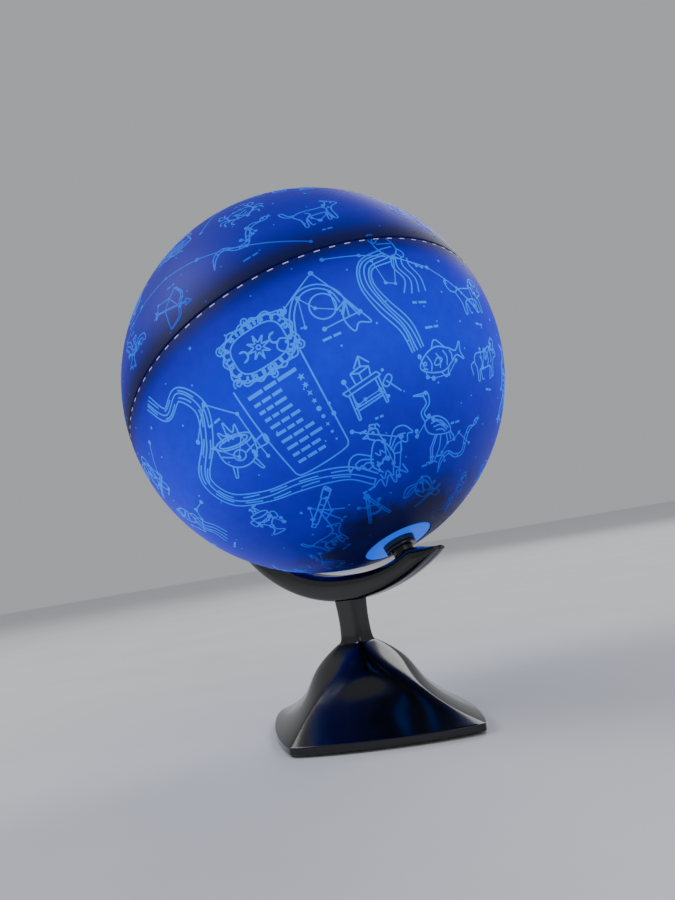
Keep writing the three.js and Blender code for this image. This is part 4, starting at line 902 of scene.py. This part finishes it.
def foot_points(section_z, height, inset, angle):
    """Rows of points on |x/a|^n + |y/b|^n = 1 with a and b drawn in by the inset, each row at its own
    height."""
    section_z, height, inset = (np.asarray(v, float)[:, None] for v in (section_z, height, inset))
    a, b, n = foot_section(section_z)
    a, b = np.maximum(a - inset, 1e-3), np.maximum(b - inset, 1e-3)
    reach = ((np.abs(np.cos(angle)) / a) ** n + (np.abs(np.sin(angle)) / b) ** n) ** (-1 / n)
    return np.stack(np.broadcast_arrays(reach * np.cos(angle), reach * np.sin(angle), height), -1)


def foot_shape():
    """The flared foot: down the outside from the middle of the top, round the rim's lip and up the
    inside; points crowd towards the four ridges by angle = t - 0.19 sin 4t."""
    t = np.linspace(0, 2 * np.pi, 320, endpoint=False)
    angle = t - 0.19 * np.sin(4 * t)
    flare = foot_height - 1.2 - (foot_height - 1.2 - foot_rim_top) * np.linspace(0, 1, 90) ** 0.85
    flare[-1] = foot_rim_top
    bottom = foot_clearance
    rows = [(foot_height, foot_height, 99), (foot_height, foot_height, 3), (foot_height, foot_height, 1.0),
            (foot_height, foot_height - 0.1, 0.5), (foot_height - 0.4, foot_height - 0.4, 0.15),
            (foot_height - 0.8, foot_height - 0.8, 0)]
    rows += [(z, z, 0) for z in flare]
    lip = ((4.9, 0), (3.6, 0), (bottom + 0.6, 0), (bottom + 0.2, 0.15), (bottom, 0.6), (bottom, 1.2),
           (bottom + 0.2, 1.65), (bottom + 0.6, foot_wall), (4.8, foot_wall))
    rows += [(0, z, inset) for z, inset in lip]
    inner = np.linspace(foot_rim_top, foot_height - 5.5, 24)
    rows += [(z + foot_wall, z, foot_wall) for z in inner] + [(foot_height - 3.7, foot_height - 5.5, 99)]
    section_z, height, inset = np.array(rows).T
    return surface("foot_cone", placed(upright, foot_points(section_z, height, inset, angle)), crease=40)


foot = foot_shape()
cut(foot,
    turned("seat_tool", [(0, -0.9), (button_seat, -0.9), (button_seat, 10), (0, 10)], on_button, 0, 96),
    turned("hole_tool", [(0, -12), (button_bore, -12), (button_bore, 11), (0, 11)], on_button, 0, 96))
fit(foot, "stand", gloss_abs, "stand_gloss", "foot_shell")
fit(turned("button_surround",
           [(5.85, -6.5), (7.55, -6.5), (7.55, -0.6), (8.85, -0.6), (8.85, 0.06), (8.35, 0.5), (6.3, 0.5),
            (5.85, 0.2)], on_button, 0.25), "stand", satin_abs, "stand_matte", "button_bezel")
fit(turned("push_button", [(0, -2.6), (5.5, -2.6), (5.5, 0.8), (5.0, 1.4), (3.6, 1.25), (1.8, 1.08),
                           (0, 1.05)], on_button, 0.3), "button", gloss_abs, "stand_gloss", "power_button")


def neck_shape():
    """The neck's rounded square section |x/a|^6 + |y/b|^6 = 1, drawn in by a sine at its middle and
    flared by a small round at its foot."""
    angle = np.linspace(0, 2 * np.pi, 128, endpoint=False)
    t = np.linspace(0, 1, 40)[:, None]
    z = foot_height - 0.2 + (neck_top - foot_height + 0.2) * t
    draw_in = 1 - 0.07 * np.sin(np.pi * t) + 0.1 * np.exp(-t * 22)
    a, b = 8.5 * draw_in, 6.5 * draw_in
    reach = ((np.abs(np.cos(angle)) / a) ** 6 + (np.abs(np.sin(angle)) / b) ** 6) ** (-1 / 6)
    body = np.stack(np.broadcast_arrays(reach * np.cos(angle), reach * np.sin(angle), z), -1)
    ends = np.zeros((1, 128, 3))
    points = np.vstack([ends + (0, 0, z[0, 0]), body, ends + (0, 0, z[-1, 0])])
    return surface("neck_post", placed(upright, points), crease=50)


fit(neck_shape(), "stand", gloss_abs, "stand_gloss", "neck")


# ---- arm -------------------------------------------------------------------------------------
south_angle, north_angle = -tilt, math.pi - tilt


def arm_point(angle, out, across):
    """A point of the arm: the angle runs from straight down towards -X, out is the distance from the
    globe's centre."""
    return np.stack(np.broadcast_arrays(globe_centre[0] - out * np.sin(angle), across,
                                        globe_centre[2] - out * np.cos(angle)), -1)


def arm_half(name, side):
    """Half of the arm's squared-oval section |y/w|^4 + |q/t|^4 = 1, from the split line outwards,
    carried along the arc; its thickness eases from the middle to the ends by 3s^2 - 2s^3 and draws
    down to the tip."""
    angle = np.linspace(south_angle - arm_tip_angle, north_angle + arm_tip_angle, 300)[:, None]
    past = np.maximum(south_angle - angle, angle - north_angle) / arm_tip_angle
    tip = np.clip((past - 0.34) / 0.66, 0, 1)
    s = np.clip(-past * arm_tip_angle / arm_taper_angle, 0, 1)
    full = arm_end_thickness + (arm_thickness - arm_end_thickness) * s * s * (3 - 2 * s)
    thick = (full + (arm_tip_thickness - full) * tip) / 2
    wide = (arm_width + (arm_tip_width - arm_width) * tip ** 2) / 2
    middle = arm_reach - thick
    turn = np.linspace(-np.pi / 2, np.pi / 2, 41)
    reach = ((np.abs(np.cos(turn)) / wide) ** 4 + (np.abs(np.sin(turn)) / thick) ** 4) ** -0.25
    across = np.maximum(reach * np.cos(turn), arm_split + 0.3)
    out = reach * np.sin(turn)
    flat = np.full_like(thick, arm_split)
    across = np.hstack([flat, flat, across, flat])
    out = np.hstack([0 * thick, -(thick - 0.3), out, thick - 0.3])
    points = arm_point(angle, middle + out, side * across)
    ends = [arm_point(angle[k], middle[k],
                      side * np.full(points.shape[1], wide[k, 0] / 2))[None] for k in (0, -1)]
    return surface(name, np.vstack([ends[0], points, ends[1]]), crease=40)


def clamp_seat(angle):
    """The placing of a clamp screw: on the arm's middle line, its axis straight back."""
    centre = arm_point(np.array(angle), arm_reach - arm_thickness / 2, 0.0)
    return seat(centre, (0, 1, 0), (0, 0, 1))


for node, side in (("arm_front", -1), ("arm_back", 1)):
    half = arm_half(node.replace("arm", "arm_half"), side)
    if side > 0:
        bore = [(0, bore_floor), (screw_bore, bore_floor), (screw_bore, 12), (0, 12)]
        cut(half, *(turned(f"bore_tool_{index}", bore, clamp_seat(angle), 0, 48)
                    for index, angle in enumerate(arm_screw_angles)))
    fit(half, "stand", gloss_abs, "stand_gloss", node)


# ---- screws and rubber feet ------------------------------------------------------------------
def cross_screw(name, placing, top, length, turn=0.4):
    """A pan-head screw along the placing's axis with a cross recess: the cross is a square-ended plus
    whose arms draw in with depth."""
    screw = turned(name, [(0, top), (1.9, top - 0.06), (2.7, top - 0.35), (3.0, top - 0.8),
                          (3.0, top - 1.3), (1.5, top - 1.3), (1.5, top - length + 0.8),
                          (0.5, top - length), (0, top - length)], placing, 0.12, 48)
    corner = np.array([(1.7, 0.32), (0.32, 0.32), (0.32, 1.7), (-0.32, 1.7), (-0.32, 0.32), (-1.7, 0.32),
                       (-1.7, -0.32), (-0.32, -0.32), (-0.32, -1.7), (0.32, -1.7), (0.32, -0.32),
                       (1.7, -0.32)])
    corner = corner @ np.array([[math.cos(turn), math.sin(turn)], [-math.sin(turn), math.cos(turn)]])
    size, level = np.array([0, 1.06, 0.55, 0])[:, None, None], np.array([0.3, 0.3, -0.9, -0.9])
    plus = np.dstack([corner[None] * size, np.repeat((top + level)[:, None], 12, 1)])
    return cut(screw, surface("cross_tool", placed(placing, plus), crease=20))


def below(node):
    """The placing of a screw or foot let in from beneath, from its plain piece's box, and the height
    of its lower face."""
    low, high = (np.array(corner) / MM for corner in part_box(node))
    return seat(((low[0] + high[0]) / 2, (low[1] + high[1]) / 2, 0), (0, 0, -1)), -low[2], high[2] - low[2]


for index in range(1, 5):
    placing, top, length = below(f"base_screw_{index}")
    fit(cross_screw(f"plate_screw_{index}", placing, top, length, 0.5 * index), "stand", zinc_steel,
        "steel", f"base_screw_{index}")
    placing, top, length = below(f"rubber_foot_{index}")
    fit(turned(f"rubber_pad_{index}",
               [(0, top - length), (4.7, top - length), (5, top - length + 0.5), (4.9, top - 0.5),
                (4.2, top - 0.05), (3.4, top - 0.1), (2.9, top - 0.35), (0, top - 0.4)], placing, 0.25, 64),
        "stand", rubber, "rubber", f"rubber_foot_{index}")
placing, top, length = below("battery_door_screw")
fit(cross_screw("door_screw", placing, top, length, 0.9), "door", zinc_steel, "steel", "battery_door_screw")
for index, angle in enumerate(arm_screw_angles, 1):
    fit(cross_screw(f"clamp_screw_{index}", clamp_seat(angle), screw_level, screw_length, 0.7 * index),
        "stand", zinc_steel, "steel", f"arm_screw_{index}")

# ---- pieces under and inside the foot --------------------------------------------------------
fit(refined("under_plate", "foot_base", 0.35), "stand", satin_abs, "stand_matte", "foot_base")
fit(refined("cell_cover", "battery_door", 0.3), "door", satin_abs, "stand_matte", "battery_door")
fit(refined("cell_tray", "battery_tray", 0.2), "stand", satin_abs, "stand_matte", "battery_tray")
fit(refined("iron_weight", "foot_ballast", 0.8), "stand", cast_iron, "steel", "foot_ballast")
fit(refined("switch_block", "switch_body", 0.3), "stand", satin_abs, "stand_matte", "switch_body")
fit(refined("neck_screw", "neck_bolt", 0.2), "stand", zinc_steel, "steel", "neck_bolt")
for index in range(1, 4):
    fit(refined(f"dry_cell_{index}", f"battery_cell_{index}", 0.35), "stand", cell_film, "cell",
        f"battery_cell_{index}")
for index in range(1, 3):
    fit(refined(f"spring_contact_{index}", f"contact_plate_{index}", 0.12), "stand", nickel, "steel",
        f"contact_plate_{index}")
for node, name in (("lamp_lead", "lamp_cable"), ("battery_lead", "cell_cable")):
    fit(refined(name, node, 0.1), "stand", pvc_lead, "lead", node)

# ---- floor, light and camera -----------------------------------------------------------------
# Matt painted board: near white with a faint roller texture.
floor_paint = textured("matt_white_board", 0xe0e1e3, 0xe7e8e9, 2.5, 180.0, (0.75, 0.85), 0.08)
reach = 60000.0
floor = solid("floor", [(-reach, -reach, 0), (reach, -reach, 0), (reach, reach, 0), (-reach, reach, 0)],
              [(0, 1, 2, 3)], even=False)
floor.data.materials.append(floor_paint)

world = bpy.data.worlds.new("studio")
bpy.context.scene.world = world
world.use_nodes = True
world.node_tree.nodes["Background"].inputs["Color"].default_value = colour(0xe6e9ee)
world.node_tree.nodes["Background"].inputs["Strength"].default_value = 0.5


def soft_box(name, place, size, power):
    """A square light that faces the globe."""
    lamp = bpy.data.lights.new(name, "AREA")
    lamp.shape, lamp.size, lamp.energy = "SQUARE", size, power
    box = bpy.data.objects.new(name, lamp)
    box.location = place
    box.rotation_euler = (Vector(globe_centre * MM) - Vector(place)).to_track_quat("-Z", "Y").to_euler()
    bpy.context.scene.collection.objects.link(box)


soft_box("key", (-1.5, -1.9, 2.6), 1.6, 46.0)
soft_box("fill", (2.6, -0.9, 1.4), 1.8, 14.0)
soft_box("rim", (-0.6, 2.4, 2.2), 1.4, 24.0)

lens_of_camera = bpy.data.cameras.new("camera")
lens_of_camera.sensor_fit, lens_of_camera.sensor_height, lens_of_camera.lens = "VERTICAL", 36.0, 26.92
lens_of_camera.clip_start = 0.01
camera = bpy.data.objects.new("camera", lens_of_camera)
right, up = Vector((0.681, 0.7133, -0.1648)), Vector((0.2254, 0.0098, 0.9742))
back = right.cross(up).normalized()
camera.matrix_world = Matrix.Translation(Vector(globe_centre * MM) + Vector((0.2926, -0.2841, -0.1061))) @ \
    Matrix((right, back.cross(right), back)).transposed().to_4x4()
bpy.context.scene.collection.objects.link(camera)
bpy.context.scene.camera = camera
